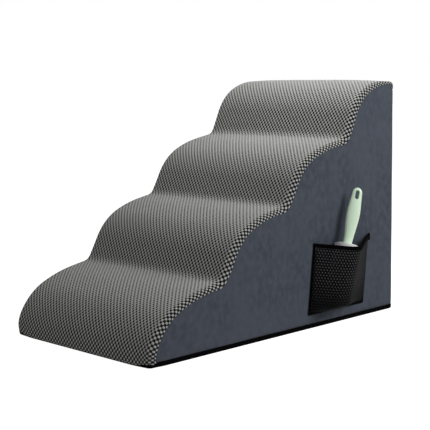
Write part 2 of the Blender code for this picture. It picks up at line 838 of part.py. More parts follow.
def handle_half_sizes(height):
    """Half the handle's width and thickness at a height above its neck."""
    widest = HANDLE_LENGTH * GRIP_WIDEST
    width = NECK_WIDTH + (GRIP_WIDTH - NECK_WIDTH) * ease(0.0, widest, height)
    width -= (GRIP_WIDTH - TIP_WIDTH) * ease(widest, HANDLE_LENGTH, height)
    thickness = GRIP_THICKNESS - (GRIP_THICKNESS - TIP_THICKNESS) * ease(widest, HANDLE_LENGTH, height)
    end = TIP_WIDTH / 2
    to_tip = HANDLE_LENGTH - height
    if to_tip < end:
        rounding = math.sqrt(max(0.0, 1 - (1 - to_tip / end) ** 2))
        return width / 2 * rounding, thickness / 2 * math.sqrt(rounding)
    return width / 2, thickness / 2


def make_roller_handle(frame):
    """Flattened grip shaped from a sphere's rings, with a bore for the axle and a slot to hang it by."""
    rings = 20
    edit = bmesh.new()
    bmesh.ops.create_uvsphere(edit, u_segments=16, v_segments=rings, radius=1.0)
    for vertex in edit.verts:
        latitude = math.asin(max(-1.0, min(1.0, vertex.co.z)))
        ring = round((latitude / math.pi + 0.5) * rings)
        if ring in (0, rings):
            vertex.co = (0.0, 0.0, 0.0 if ring == 0 else HANDLE_LENGTH)
            continue
        height = HANDLE_LENGTH * math.sin(math.pi / 2 * (ring - 1) / (rings - 1))
        around = math.atan2(vertex.co.y, vertex.co.x)
        half_width, half_thickness = handle_half_sizes(height)
        vertex.co = (half_thickness * math.cos(around), half_width * math.sin(around), height)
    mesh = bpy.data.meshes.new("roller_handle")
    edit.to_mesh(mesh)
    edit.free()
    handle = add_part("roller_handle", mesh, "green_plastic")
    handle.parent = frame
    handle.location.z = HANDLE_FOOT
    handle.rotation_euler.z = ROLLER_TURN
    add_boolean(handle, make_axle_bore(handle), "DIFFERENCE")
    add_boolean(handle, make_hang_slot(handle), "DIFFERENCE")


def make_axle_bore(handle):
    depth = AXLE_TOP - HANDLE_FOOT + CUT_OVERLAP
    edit = bmesh.new()
    bmesh.ops.create_cone(
        edit,
        cap_ends=True,
        segments=20,
        radius1=AXLE_RADIUS + GAP,
        radius2=AXLE_RADIUS + GAP,
        depth=2 * depth,
    )
    mesh = bpy.data.meshes.new("axle_bore")
    edit.to_mesh(mesh)
    edit.free()
    cutter = add_cutter("axle_bore", mesh)
    cutter.parent = handle
    return cutter


def make_hang_slot(handle):
    width, length = HANG_HOLE
    outline = rounded_rectangle(width / 2, length / 2, width / 2 - 0.00005, steps=6)
    cutter = add_cutter("hang_slot", slab_mesh([outline], GRIP_THICKNESS * 2))
    cutter.parent = handle
    cutter.location.z = HANDLE_LENGTH - HANG_HOLE_TO_TIP
    return cutter


def main():
    clear_scene()
    make_collection("dog_ramp")
    make_collection("cutters")
    make_foam_base()
    make_comfort_foam()
    make_inner_liner()
    make_tread_panel()
    window = side_panel_window()
    make_side_panel("side_panel_right", 1, window)
    make_side_panel("side_panel_left", -1, window)
    make_back_panel()
    make_base_panel()
    make_foot_bands()
    make_zip_tapes_and_teeth()
    make_zip_stops()
    make_zip_pull(make_zip_slider())
    make_care_label()
    make_pocket()
    frame = make_roller_frame()
    make_roll_and_drum(frame)
    make_roller_axle(frame)
    make_roller_handle(frame)


main()
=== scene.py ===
"""Dog ramp: the looks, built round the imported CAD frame.

The soft pieces of the cover are built here in full detail, on the same wave as the CAD. Every piece is in
metres, in the CAD's frame: +Z up, the low front end at -Y, the tall back at +Y, the pocket on +X.
"""

import math

import bpy
import numpy as np
from mathutils import Matrix, Vector


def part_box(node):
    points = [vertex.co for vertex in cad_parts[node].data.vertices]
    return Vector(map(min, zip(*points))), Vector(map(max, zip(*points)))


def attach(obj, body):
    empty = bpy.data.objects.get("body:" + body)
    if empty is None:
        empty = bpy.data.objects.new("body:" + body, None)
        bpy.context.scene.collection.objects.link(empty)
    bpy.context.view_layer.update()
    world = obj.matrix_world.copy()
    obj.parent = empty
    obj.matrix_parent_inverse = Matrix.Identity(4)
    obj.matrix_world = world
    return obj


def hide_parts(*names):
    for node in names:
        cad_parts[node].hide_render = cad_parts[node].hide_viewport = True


# The CAD's own driving dimensions
WIDTH, LENGTH, HEIGHT = 0.400, 0.715, 0.500
GAP = 0.0003
STEP_RUNS = (0.178, 0.177, 0.187)
STEP_RISES = (0.130, 0.125, 0.126)
TREAD_HEADING = 11.0
RISER_HEADING = 62.0
TOP_RISER_HEADING = 66.0
VALLEY_RADIUS = 0.022
FRONT_CREST = ((0.080, 60.0), (0.125, 25.0), (0.300, TREAD_HEADING))
STEP_CREST = ((0.120, 25.0), (0.260, TREAD_HEADING))
TOP_CREST = ((0.110, 25.0), (0.150, 0.0))
REAR_RADIUS = 0.012
REAR_DROP = 0.004
REAR_SEAM = HEIGHT - REAR_RADIUS - REAR_DROP
EDGE_RADIUS = 0.0106
MESH_THICKNESS = 0.003
MESH_FLOOR = 0.003
RIM_HEIGHT = 0.010
POCKET_FRONT = 0.067
POCKET_FLOOR = 0.0295
POCKET_WIDTH = 0.180
POCKET_HEIGHT = 0.145
POCKET_LEAN = math.radians(6.6)
POCKET_DIP = 0.009
ROLL_RADIUS = 0.026
ROLL_FOOT = Vector((WIDTH / 2 + 0.0285, 0.1247, 0.063))
ROLLER_LEAN = math.radians(17.5)
CLOTH_CLEARANCE = 0.0015
CLEAR_RADIUS = ROLL_RADIUS / math.cos(ROLLER_LEAN) + CLOTH_CLEARANCE
ROLL_BOTTOM = ROLL_FOOT.z - ROLL_RADIUS * math.sin(ROLLER_LEAN)

# Mesh fabric: staggered pods, with a hole between each four
POD_PITCH_ACROSS = 0.0092
POD_PITCH_ALONG = 0.0100
POD_HEIGHT = 0.0008
POD_SHOULDER = 0.5  # height between two pods, as a share of a pod's
HOLE_DEPTH = 0.0016
YARNS_PER_POD = 9
SAMPLES_PER_POD = 4
PAINTED_SHADE_OPENING = 0.50  # how much wider the dark pits are painted on steep faces and where the fabric turns in at a seam: painted shade

# Soft shape of the whole block. A pair gives where a change starts and ends.
CROWNS = (0.0015, 0.0045)  # how far the foam lifts the middle of the cover, on the steps and on the top
CROWN_GROWS = (0.36, 0.48)  # heights
CROWN_STARTS = (0.02, 0.12)  # heights
CROWN_FADES = (0.055, 0.005)  # distances from the back
FRONT_TUCK = 0.0008  # how far the soft front edge draws in at the floor
FRONT_REACH = 0.045  # how far back that is felt
FLOOR_REACH = 0.032  # how far up it is felt
CORNER_REACH = 0.055  # how far in from a side a front corner is felt
CORNER_TUCK = 0.0020
CORNER_LIFT = 0.0006

# Seams
PROFILE_SAMPLES = 1200
SEAM_SMOOTHING = 61  # samples of the profile
SEAM_DEPTHS = (0.0080, 0.0140)  # from the profile to the side seam, on a tread and on a riser
REAR_SEAM_DEPTH = 0.0045  # where the seam climbs towards the rear corner
REAR_SEAM_CLIMB = 0.080
SEAM_SAMPLES = 420
CLOTH_THICKNESS = 0.0012
HEM_HEIGHT = 0.0027
HEM_RISE = 0.0042  # how much more of the hem shows at the front corners
RIM_STITCH_HEIGHT = RIM_HEIGHT - 0.0022

# Foam and liner
LINER_INSET = MESH_THICKNESS + GAP
LINER_HALF = WIDTH / 2 - LINER_INSET
LINER_TURN = EDGE_RADIUS - LINER_INSET
LINER_SPACING = 0.0045
LINER_COLUMNS = 90
LINER_RIPPLE = 0.0002
FOAM_FLOOR = 0.0023
FOAM_SKIN = 0.0003

# Pocket net
NET_CELL = 0.0064
MICRONS = 1e6  # corners are matched to the nearest micron
NET_HOLE = 0.22  # a hole's width as a share of its cell's
NET_THICKNESS = 0.0005
BINDING_WIDTH = 0.006
MOUTH_BINDING_HEIGHT = 0.008
MOUTH_BINDING_THICKNESS = 0.0022
ROLLED_END = (2.4, 1.7)  # how much thicker and taller the mouth's binding gets where its rear end is folded
ROLLED_SHARES = (0.90, 0.97)  # where along the mouth that starts and ends
OVERLOCK_PITCH = 0.0030
OVERLOCK_LENGTH = 0.0042
OVERLOCK_RADIUS = 0.0006

STITCH_LENGTH = 0.0028
STITCH_PITCH = 0.0042
STITCH_RADIUS = 0.00035
STITCH_SIDES = 6
STITCH_SHOULDER = 0.28  # from its middle to where it starts to taper, as a share of its length
DOT_SIDES = 6

FLOOR_GLOW = 0.92
FILL_LIGHT = 0.292
SOFTBOXES = (  # name, place, what it points at, size, watts
    ("top", (0.05, 0.16, 0.90), (0.0, 0.26, 0.50), 0.4, 1.76),
    ("side", (1.60, 0.55, 1.15), (0.2, 0.10, 0.25), 0.8, 20.0),
)

CAMERA_PLACE = Vector((1.5905, -1.5715, 0.4945))
CAMERA_AZIMUTH = 43.03
CAMERA_ELEVATION = 4.51
CAMERA_ROLL = -0.07
CAMERA_LENS = 90.3
CAMERA_SHIFT = (-0.0986, -0.1065)


# Wave, seen from the side. A station is a point (y, z) and a heading in degrees.


def direction(heading):
    return np.array((math.cos(math.radians(heading)), math.sin(math.radians(heading))))


def outward(heading):
    return np.array((-math.sin(math.radians(heading)), math.cos(math.radians(heading))))


def arc_move(radius, start, end):
    return math.copysign(radius, start - end) * (outward(end) - outward(start))


def run_straight(path, length):
    point, heading = path[-1]
    path.append((point + length * direction(heading), heading))


def run_arc(path, radius, end, step_degrees=2.0):
    point, start = path[-1]
    steps = math.ceil(abs(end - start) / step_degrees)
    for step in range(1, steps + 1):
        heading = start + (end - start) * step / steps
        path.append((point + arc_move(radius, start, heading), heading))


def crest_move(heading, crest):
    move = np.zeros(2)
    for radius, end in crest:
        move = move + arc_move(radius, heading, end)
        heading = end
    return move


def valley_tangent(riser):
    return VALLEY_RADIUS * math.tan(math.radians(riser - TREAD_HEADING) / 2)


def run_step(path, move, crest, next_riser):
    riser = path[-1][1]
    left = np.array(move) - crest_move(riser, crest)
    headings = np.column_stack((direction(riser), direction(TREAD_HEADING)))
    riser_length, tread_length = np.linalg.solve(headings, left)
    if riser < 90:
        riser_length -= valley_tangent(riser)
    run_straight(path, riser_length)
    for radius, end in crest:
        run_arc(path, radius, end)
    run_straight(path, tread_length - valley_tangent(next_riser))
    run_arc(path, VALLEY_RADIUS, next_riser)


def cover_path():
    """From the foot of the front, over the steps and the rear corner, to the seam on the back."""
    path = [(np.array((-LENGTH / 2, 0.0)), 90.0)]
    run_step(path, (STEP_RUNS[0], STEP_RISES[0]), FRONT_CREST, RISER_HEADING)
    run_step(path, (STEP_RUNS[1], STEP_RISES[1]), STEP_CREST, RISER_HEADING)
    run_step(path, (STEP_RUNS[2], STEP_RISES[2]), STEP_CREST, TOP_RISER_HEADING)
    climb = HEIGHT - path[-1][0][1] - crest_move(TOP_RISER_HEADING, TOP_CREST)[1]
    run_straight(path, climb / direction(TOP_RISER_HEADING)[1])
    for radius, end in TOP_CREST:
        run_arc(path, radius, end)
    run_straight(path, LENGTH / 2 - REAR_RADIUS - path[-1][0][0])
    run_arc(path, REAR_RADIUS, -90.0)
    run_straight(path, REAR_DROP)
    path[0] = (np.array((-LENGTH / 2, MESH_FLOOR)), 90.0)
    return path


class Wave:
    """The cover's profile by distance along it, with the depth of the side seam at each place."""

    def __init__(self):
        path = cover_path()
        points = np.array([point for point, _ in path])
        self.distances = distances_along(points)
        self.length = self.distances[-1]
        self.points = points
        self.headings = np.array([heading for _, heading in path])
        self.fine = np.linspace(0.0, self.length, PROFILE_SAMPLES)
        steepness = (self.heading(self.fine) - TREAD_HEADING) / (RISER_HEADING - TREAD_HEADING)
        steepness = np.clip(steepness, 0, 1)
        depths = SEAM_DEPTHS[0] + (SEAM_DEPTHS[1] - SEAM_DEPTHS[0]) * steepness
        depths = smoothed(depths, SEAM_SMOOTHING)
        corner_end = self.length - REAR_DROP
        corner_start = corner_end - REAR_RADIUS * math.pi / 2
        climb = smooth_step(corner_start - REAR_SEAM_CLIMB, corner_start, self.fine)
        depths = depths + (REAR_SEAM_DEPTH - depths) * climb
        rounding = smooth_step(corner_start, corner_end, self.fine)
        self.depths = depths + (EDGE_RADIUS - depths) * rounding

    def heading(self, along):
        return np.interp(along, self.distances, self.headings)

    def point(self, along):
        return line_at(along, self.distances, self.points)

    def outward(self, along):
        turn = np.radians(self.heading(along))
        return np.stack((-np.sin(turn), np.cos(turn)), axis=-1)

    def seam_depth(self, along):
        return np.interp(along, self.fine, self.depths)

    def seam(self, along):
        return self.point(along) - self.seam_depth(along)[..., None] * self.outward(along)


def smoothed(values, width):
    """Moving average that keeps its ends."""
    half = width // 2
    padded = np.concatenate((np.full(half, values[0]), values, np.full(half, values[-1])))
    return np.convolve(padded, np.ones(width) / width, mode="valid")


def smooth_step(low, high, values):
    share = np.clip((values - low) / (high - low), 0.0, 1.0)
    return share * share * (3 - 2 * share)


def distances_along(line):
    """How far each point of a line is from its first."""
    return np.concatenate(([0.0], np.cumsum(np.linalg.norm(np.diff(line, axis=0), axis=1))))


def line_at(places, distances, line):
    """Points at some distances along a line."""
    return np.stack([np.interp(places, distances, values) for values in np.transpose(line)], axis=-1)


def rising(values):
    """Which values lie past all before them, so that a sheet's columns never fold back."""
    return np.concatenate(([True], np.diff(np.maximum.accumulate(values)) > 1e-5))


def grid_of(x, y, z):
    """Rows and columns of points, from coordinates that broadcast together."""
    return np.stack(np.broadcast_arrays(x, y, z), axis=-1)


# Meshes


class Build:
    """Points and faces gathered for one piece."""

    def __init__(self):
        self.points = []
        self.faces = []
        self.marks = []

    def add(self, points, faces, mark=0):
        first = len(self.points)
        self.points.extend(tuple(point) for point in points)
        self.faces.extend(tuple(first + index for index in face) for face in faces)
        self.marks.extend([mark] * len(faces))

    def grid(self, points, wrap=False, mark=0):
        """Faces over rows and columns of points. With wrap, the rows close on themselves and get end caps."""
        rows, columns = points.shape[:2]
        faces = []
        for row in range(rows if wrap else rows - 1):
            above = (row + 1) % rows
            for column in range(columns - 1):
                corner = row * columns + column
                other = above * columns + column
                faces.append((corner, corner + 1, other + 1, other))
        if wrap:
            faces.append(tuple(row * columns for row in range(rows)))
            faces.append(tuple((row + 1) * columns - 1 for row in reversed(range(rows))))
        self.add(points.reshape(-1, 3), faces, mark)

    def dash(self, centre, along, normal, length, radius, mark=0):
        """A stitch, or a coil's tooth: a short bar with pointed ends that dip into the cloth."""
        sides = STITCH_SIDES
        along = np.array(along) / np.linalg.norm(along)
        normal = np.array(normal) / np.linalg.norm(normal)
        across = np.cross(along, normal)
        points = [centre - along * length / 2]
        for place in (-STITCH_SHOULDER, STITCH_SHOULDER):
            for side in range(sides):
                turn = 2 * math.pi * side / sides
                spread = math.cos(turn) * normal + math.sin(turn) * across
                points.append(centre + along * length * place + radius * spread)
        points.append(centre + along * length / 2)
        faces = []
        for side in range(sides):
            after = (side + 1) % sides
            faces.append((0, 1 + after, 1 + side))
            faces.append((1 + side, 1 + after, 1 + sides + after, 1 + sides + side))
            faces.append((1 + sides + side, 1 + sides + after, 1 + 2 * sides))
        self.add(points, faces, mark)

    def stitches(self, line, normals, mark=0):
        """A row of stitches along a line of points, with one normal for all or one for each."""
        line = np.array(line)
        normals = np.broadcast_to(np.array(normals, float), line.shape)
        distances = distances_along(line)
        for place in np.arange(STITCH_PITCH, distances[-1] - STITCH_PITCH / 2, STITCH_PITCH):
            start = line_at(place - STITCH_LENGTH / 2, distances, line)
            end = line_at(place + STITCH_LENGTH / 2, distances, line)
            normal = line_at(place, distances, normals)
            self.dash((start + end) / 2, end - start, normal, STITCH_LENGTH, STITCH_RADIUS, mark)

    def piece(self, name, *materials):
        mesh = bpy.data.meshes.new(name)
        mesh.from_pydata(self.points, [], self.faces)
        for material in materials:
            mesh.materials.append(material)
        mesh.polygons.foreach_set("material_index", self.marks)
        mesh.polygons.foreach_set("use_smooth", [True] * len(self.faces))
        mesh.update()
        return link(bpy.data.objects.new(name, mesh))


def link(new_object):
    bpy.context.scene.collection.objects.link(new_object)
    return new_object


def add_thickness(piece, thickness):
    modifier = piece.modifiers.new("thickness", "SOLIDIFY")
    modifier.thickness = thickness
    modifier.offset = -1.0


def fit(piece, node):
    """Put a finished piece on the ramp's body, in place of its CAD node."""
    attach(piece, "ramp")
    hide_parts(node)
    return piece


def corner_share(x, y):
    """1 at the front's two corners, falling to 0 along the front edge and back along the sides."""
    front = 1 - smooth_step(0.0, FRONT_REACH, y + LENGTH / 2)
    return front * smooth_step(WIDTH / 2 - CORNER_REACH, WIDTH / 2, np.abs(x))


def soften(points):
    """The block's soft shape: a drawn-in front edge, rounded front corners and a crowned middle.

    The mesh, sides, base, rims, liner and foams all take this warp, so they stay clear of each other. It
    doesn't move the back or the wall behind the pocket, so the pieces there don't need it.
    """
    points = np.array(points, float)
    x, y, z = points[..., 0].copy(), points[..., 1].copy(), points[..., 2].copy()
    near_floor = 1 - smooth_step(0.0, FLOOR_REACH, z)
    near_front = 1 - smooth_step(0.0, FRONT_REACH, y + LENGTH / 2)
    corner = near_floor * corner_share(x, y)
    points[..., 0] -= np.sign(x) * CORNER_TUCK * corner
    points[..., 1] += FRONT_TUCK * near_floor * near_front + CORNER_TUCK * corner
    crown = CROWNS[0] + (CROWNS[1] - CROWNS[0]) * smooth_step(*CROWN_GROWS, z)
    crown *= (1 - (x / (WIDTH / 2)) ** 4) * smooth_step(*CROWN_STARTS, z)
    crown *= 1 - smooth_step(LENGTH / 2 - CROWN_FADES[0], LENGTH / 2 - CROWN_FADES[1], y)
    points[..., 2] += CORNER_LIFT * corner + crown
    return points


def hem_rise(x, y):
    return HEM_RISE * smooth_step(0.25, 1.0, corner_share(x, y))


# Materials


class Look:
    """A node material under construction. Places are the CAD frame's own, in metres."""

    def __init__(self, name, roughness=0.8, **sockets):
        self.material = bpy.data.materials.new(name)
        self.material.use_nodes = True
        self.tree = self.material.node_tree
        self.shader = self.tree.nodes["Principled BSDF"]
        self.shader.inputs["Roughness"].default_value = roughness
        for socket, value in sockets.items():
            self.shader.inputs[socket.replace("_", " ")].default_value = value
        self.place = self.add("ShaderNodeTexCoord").outputs["Object"]

    def add(self, kind, inputs=None, **settings):
        """A new node with its inputs, each a plain value or another node's output, and its settings."""
        node = self.tree.nodes.new(kind)
        for name, value in settings.items():
            setattr(node, name, value)
        for name, value in (inputs or {}).items():
            self.join(value, node.inputs[name])
        return node

    def join(self, value, socket):
        if isinstance(value, bpy.types.NodeSocket):
            self.tree.links.new(value, socket)
        else:
            socket.default_value = value

    def maths(self, operation, *values):
        return self.add("ShaderNodeMath", dict(enumerate(values)), operation=operation).outputs[0]

    def plus(self, first, second):
        return self.maths("ADD", first, second)

    def times(self, first, second):
        return self.maths("MULTIPLY", first, second)

    def axes(self, vector):
        return self.add("ShaderNodeSeparateXYZ", {0: vector}).outputs

    def step(self, value, low, high):
        """Smooth change from 0 to 1 as the value goes from low to high."""
        span = {"Value": value, "From Min": low, "From Max": high}
        return self.add("ShaderNodeMapRange", span, interpolation_type="SMOOTHSTEP").outputs["Result"]

    def stretched(self, scale):
        return self.add("ShaderNodeMapping", {"Vector": self.place, "Scale": scale}).outputs["Vector"]

    def noise(self, scale, detail=3.0, stretch=None):
        place = self.stretched(stretch) if stretch else self.place
        inputs = {"Vector": place, "Scale": scale, "Detail": detail}
        return self.add("ShaderNodeTexNoise", inputs).outputs["Fac"]

    def cells(self, scale):
        return self.add("ShaderNodeTexVoronoi", {"Vector": self.place, "Scale": scale}).outputs["Distance"]

    def blend(self, factor, first, second):
        node = self.add("ShaderNodeMix", data_type="RGBA")
        self.join(factor, node.inputs[0])
        for value, socket in ((first, node.inputs[6]), (second, node.inputs[7])):
            self.join(value if isinstance(value, bpy.types.NodeSocket) else (*value, 1.0), socket)
        return node.outputs[2]

    def shades(self, factor, dark, light):
        """Base colour between two shades."""
        self.join(self.blend(factor, dark, light), self.shader.inputs["Base Color"])

    def roughness(self, value, scale=1.0, least=0.0):
        self.join(self.plus(self.times(value, scale), least), self.shader.inputs["Roughness"])

    def bump(self, height, distance, strength):
        node = self.add("ShaderNodeBump", {"Height": height, "Distance": distance, "Strength": strength})
        self.join(node.outputs["Normal"], self.shader.inputs["Normal"])


def mesh_fabric():
    """Light knitted pods on a dark ground, with a pit between each four pods. Painted shade: the pits are
    drawn darker towards their bottoms, and wider on steep faces and where the fabric turns in at a side seam.
    """
    look = Look("spacer_mesh_fabric", roughness=0.85, Specular_IOR_Level=0.2)
    lattice = look.axes(look.add("ShaderNodeAttribute", attribute_name="lattice").outputs["Vector"])
    across = look.maths("COSINE", look.times(lattice["X"], 2 * math.pi))
    along = look.maths("COSINE", look.times(lattice["Y"], 2 * math.pi))
    wobble = look.times(look.maths("SUBTRACT", look.noise(420.0), 0.5), 0.5)
    # Painted shade: the dark pits are drawn wider on steep faces and at the side seams.
    painted_pit_widening = look.times(lattice["Z"], PAINTED_SHADE_OPENING)
    pods = look.maths("SUBTRACT", look.plus(look.times(across, along), wobble), painted_pit_widening)
    yarn = look.maths("SINE", look.times(lattice["Y"], 2 * math.pi * YARNS_PER_POD))
    shade = look.plus(look.times(yarn, 0.12), look.noise(1300.0, 2.0))
    light = look.blend(shade, (0.34, 0.345, 0.330), (0.58, 0.585, 0.562))
    # The knit's dark ground, painted darker still towards the bottom of each pit: painted shade.
    ground = look.blend(look.step(pods, -0.95, -0.40), (0.003, 0.003, 0.003), (0.032, 0.032, 0.031))
    look.shades(look.step(pods, -0.55, 0.05), ground, light)
    look.bump(look.plus(yarn, look.noise(1500.0, 2.0)), 0.00012, 0.6)
    return look.material


def suede():
    """Short nap, brushed this way and that in soft clouds."""
    look = Look("suede", roughness=0.92, Sheen_Weight=0.12, Sheen_Roughness=0.5, Specular_IOR_Level=0.2)
    look.shader.inputs["Sheen Tint"].default_value = (0.62, 0.68, 0.82, 1.0)
    cloud = look.noise(14.0, 4.0)
    brushed = look.noise(75.0, 5.0, stretch=(1.0, 1.0, 0.8))
    base = look.blend(look.step(cloud, 0.28, 0.72), (0.040, 0.048, 0.065), (0.060, 0.069, 0.091))
    look.shades(look.step(brushed, 0.30, 0.75), base, (0.067, 0.077, 0.099))
    look.bump(look.plus(look.noise(2600.0, 3.0), look.times(brushed, 1.5)), 0.00022, 0.7)
    return look.material


def woven_black(name, colour=(0.0018, 0.0018, 0.0020), rib=2600.0):
    look = Look(name, roughness=0.95, Specular_IOR_Level=0.02)
    weave = look.noise(rib, 1.0, stretch=(1.0, 1.0, 0.4))
    dark, light = (tuple(value * share for value in colour) for share in (0.6, 1.7))
    look.shades(weave, dark, light)
    look.bump(weave, 0.0003, 0.8)
    return look.material


def speckled(name, spots, dark, light, grain, **settings):
    """A plain material: soft spots in two near shades, and a fine grain (its scale, depth and strength)."""
    look = Look(name, **settings)
    look.shades(look.noise(*spots), dark, light)
    scale, depth, strength = grain
    look.bump(look.noise(scale), depth, strength)
    return look


def rubber_dots():
    shades = (0.016, 0.016, 0.017), (0.030, 0.030, 0.031)
    return speckled("grip_rubber", (300.0,), *shades, (1800.0, 0.00005, 0.5), roughness=0.6).material


def net_fabric():
    look = Look("pocket_net_fabric", roughness=0.85, Specular_IOR_Level=0.05)
    knot = look.add("ShaderNodeAttribute", attribute_name="knot").outputs["Fac"]
    # Painted highlight and shade: the knots are drawn lighter as a highlight, and fade to dark towards the
    # pocket's foot as shade.
    raised = look.step(look.axes(look.place)["Z"], POCKET_FLOOR, POCKET_FLOOR + 0.08)
    threads = look.times(look.step(knot, 0.35, 0.90), raised)
    look.shades(threads, (0.0020, 0.0020, 0.0023), (0.115, 0.115, 0.120))
    look.bump(look.noise(3000.0), 0.0001, 0.6)
    return look.material


def zip_nylon():
    shades = (0.012, 0.012, 0.013), (0.022, 0.022, 0.024)
    return speckled("zip_nylon", (900.0,), *shades, (2500.0, 0.00004, 0.4), roughness=0.45).material


def zip_metal():
    look = Look("zip_metal", Metallic=0.9)
    flecks = look.step(look.noise(1400.0, 5.0), 0.55, 0.75)
    look.shades(flecks, (0.030, 0.030, 0.032), (0.06, 0.06, 0.06))
    look.roughness(look.step(look.noise(500.0), -0.6, 1.6))
    look.bump(look.noise(2000.0), 0.00003, 0.4)
    return look.material


def green_plastic():
    shades = (0.700, 0.890, 0.670), (0.740, 0.920, 0.710)
    gloss = {"Coat_Weight": 0.25, "Coat_Roughness": 0.15, "IOR": 1.49}
    look = speckled("green_plastic", (40.0,), *shades, (900.0, 0.00003, 0.3), **gloss)
    look.roughness(look.noise(120.0), 0.15, 0.24)
    return look.material


def white_plastic():
    shades = (0.78, 0.78, 0.76), (0.84, 0.84, 0.82)
    look = speckled("white_plastic", (60.0,), *shades, (1200.0, 0.00003, 0.3), IOR=1.47)
    look.roughness(look.noise(200.0), 0.15, 0.33)
    return look.material


def roll_rings(look, pitch):
    """Distance from the roll's own axis, and rings of that pitch round it."""
    inputs = {"Vector": look.place, "Location": ROLL_FOOT, "Rotation": (-ROLLER_LEAN, 0.0, 0.0)}
    axes = look.axes(look.add("ShaderNodeMapping", inputs, vector_type="TEXTURE").outputs["Vector"])
    radius = look.maths("SQRT", look.plus(*(look.maths("POWER", axes[axis], 2.0) for axis in "XY")))
    return radius, look.maths("SINE", look.times(radius, 2 * math.pi / pitch))


def adhesive_paper():
    """White sheets. Their layers show only on the roll's ends."""
    look = Look("adhesive_paper", roughness=0.45)
    radius, layers = roll_rings(look, 0.0004)
    on_end = look.step(radius, ROLL_RADIUS - 0.0003, ROLL_RADIUS - 0.0008)
    edge = look.plus(look.times(look.times(layers, on_end), 0.3), look.noise(400.0))
    look.shades(edge, (0.74, 0.74, 0.72), (0.88, 0.88, 0.86))
    look.bump(edge, 0.00005, 0.5)
    return look.material


def cardboard():
    look = Look("cardboard", roughness=0.9)
    _, plies = roll_rings(look, 0.0005)
    fibres = look.plus(look.times(plies, 0.25), look.noise(700.0, 5.0))
    look.shades(fibres, (0.32, 0.25, 0.17), (0.48, 0.39, 0.28))
    look.bump(fibres, 0.0001, 0.6)
    return look.material


def axle_steel():
    look = Look("axle_steel", Metallic=1.0)
    brushed = look.noise(900.0, 3.0, stretch=(1.0, 1.0, 0.05))
    look.shades(brushed, (0.52, 0.52, 0.54), (0.66, 0.66, 0.68))
    look.roughness(brushed, 0.2, 0.2)
    return look.material


def foam(name, dark, light, cell):
    look = Look(name, roughness=0.95)
    cells = look.cells(cell)
    look.shades(look.plus(cells, look.noise(30.0)), dark, light)
    look.bump(cells, 0.0006, 0.8)
    return look.material


def liner_cloth():
    shades = (0.72, 0.72, 0.72), (0.82, 0.82, 0.82)
    return speckled("liner_cloth", (200.0, 5.0), *shades, (1600.0, 0.0002, 0.6), roughness=0.9).material


def label_satin():
    look = Look("label_satin", roughness=0.5, Sheen_Weight=0.2)
    threads = look.noise(1500.0, 2.0, stretch=(1.0, 1.0, 0.2))
    look.shades(threads, (0.50, 0.50, 0.48), (0.60, 0.60, 0.58))
    look.bump(look.noise(2500.0, 1.0, stretch=(0.2, 1.0, 1.0)), 0.00006, 0.5)
    return look.material


def pale_floor():
    """White sheet lit a little from below, as on a light table, so that only a faint shadow falls on it."""
    look = Look("studio_floor", roughness=0.95, Emission_Strength=FLOOR_GLOW)
    look.shader.inputs["Emission Color"].default_value = (1.0, 1.0, 1.0, 1.0)
    look.shades(look.noise(0.5), (0.60, 0.60, 0.60), (0.62, 0.62, 0.62))
    return look.material


# Foam and liner, hidden inside the zipped cover


def make_foam(name, node, material, voxel):
    """Cut foam: the CAD block with edges softened by the cutter and a slightly uneven skin."""
    piece = link(bpy.data.objects.new(name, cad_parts[node].data.copy()))
    remesh = piece.modifiers.new("remesh", "REMESH")
    remesh.mode = "VOXEL"
    remesh.voxel_size = voxel
    smooth = piece.modifiers.new("smooth", "SMOOTH")
    smooth.iterations = 3
    shaped = bpy.data.meshes.new_from_object(piece.evaluated_get(bpy.context.evaluated_depsgraph_get()))
    piece.modifiers.clear()
    piece.data = shaped
    points = np.empty(3 * len(shaped.vertices), np.float32)
    normals = np.empty_like(points)
    shaped.vertices.foreach_get("co", points)
    shaped.vertex_normals.foreach_get("vector", normals)
    points, normals = points.reshape(-1, 3), normals.reshape(-1, 3)
    uneven = np.sin(points[:, 0] * 83) * np.sin(points[:, 1] * 71) * np.sin(points[:, 2] * 97)
    points = soften(points - normals * (FOAM_SKIN * (1 + uneven))[:, None])
    shaped.vertices.foreach_set("co", points.astype(np.float32).ravel())
    shaped.polygons.foreach_set("use_smooth", [True] * len(shaped.polygons))
    shaped.materials.clear()
    shaped.materials.append(material)
    shaped.update()
    fit(piece, node)


def liner_path():
    """The cover's profile moved in to the liner, and on down the back to the foam's foot."""
    path = cover_path()
    points = [point - LINER_INSET * outward(heading) for point, heading in path]
    headings = [heading for _, heading in path]
    points.append(np.array((points[-1][0], FOAM_FLOOR)))
    headings.append(headings[-1])
    points[0] = np.array((points[0][0], FOAM_FLOOR))
    distances = distances_along(points)
    places = np.arange(0.0, distances[-1], LINER_SPACING)
    return line_at(places, distances, points), np.interp(places, distances, headings)


def add_liner_strip(build, line, headings):
    """The strip over the front, the steps and down the back, turned in at both sides."""
    across = np.linspace(-LINER_HALF, LINER_HALF, LINER_COLUMNS)[None, :]
    edge = np.clip((np.abs(across) - (LINER_HALF - LINER_TURN)) / LINER_TURN, 0.0, 1.0)
    drop = LINER_TURN * (1 - np.sqrt(1 - edge**2))
    places = np.arange(len(line))[:, None]
    ripple = LINER_RIPPLE * (np.sin(across * 61 + places * 0.13) * np.sin(places * 0.37) - 1)
    turn = np.radians(headings)[:, None]
    y = line[:, :1] - np.sin(turn) * (ripple - drop)
    z = line[:, 1:] + np.cos(turn) * (ripple - drop)
    build.grid(soften(grid_of(across, y, z))[:, ::-1])


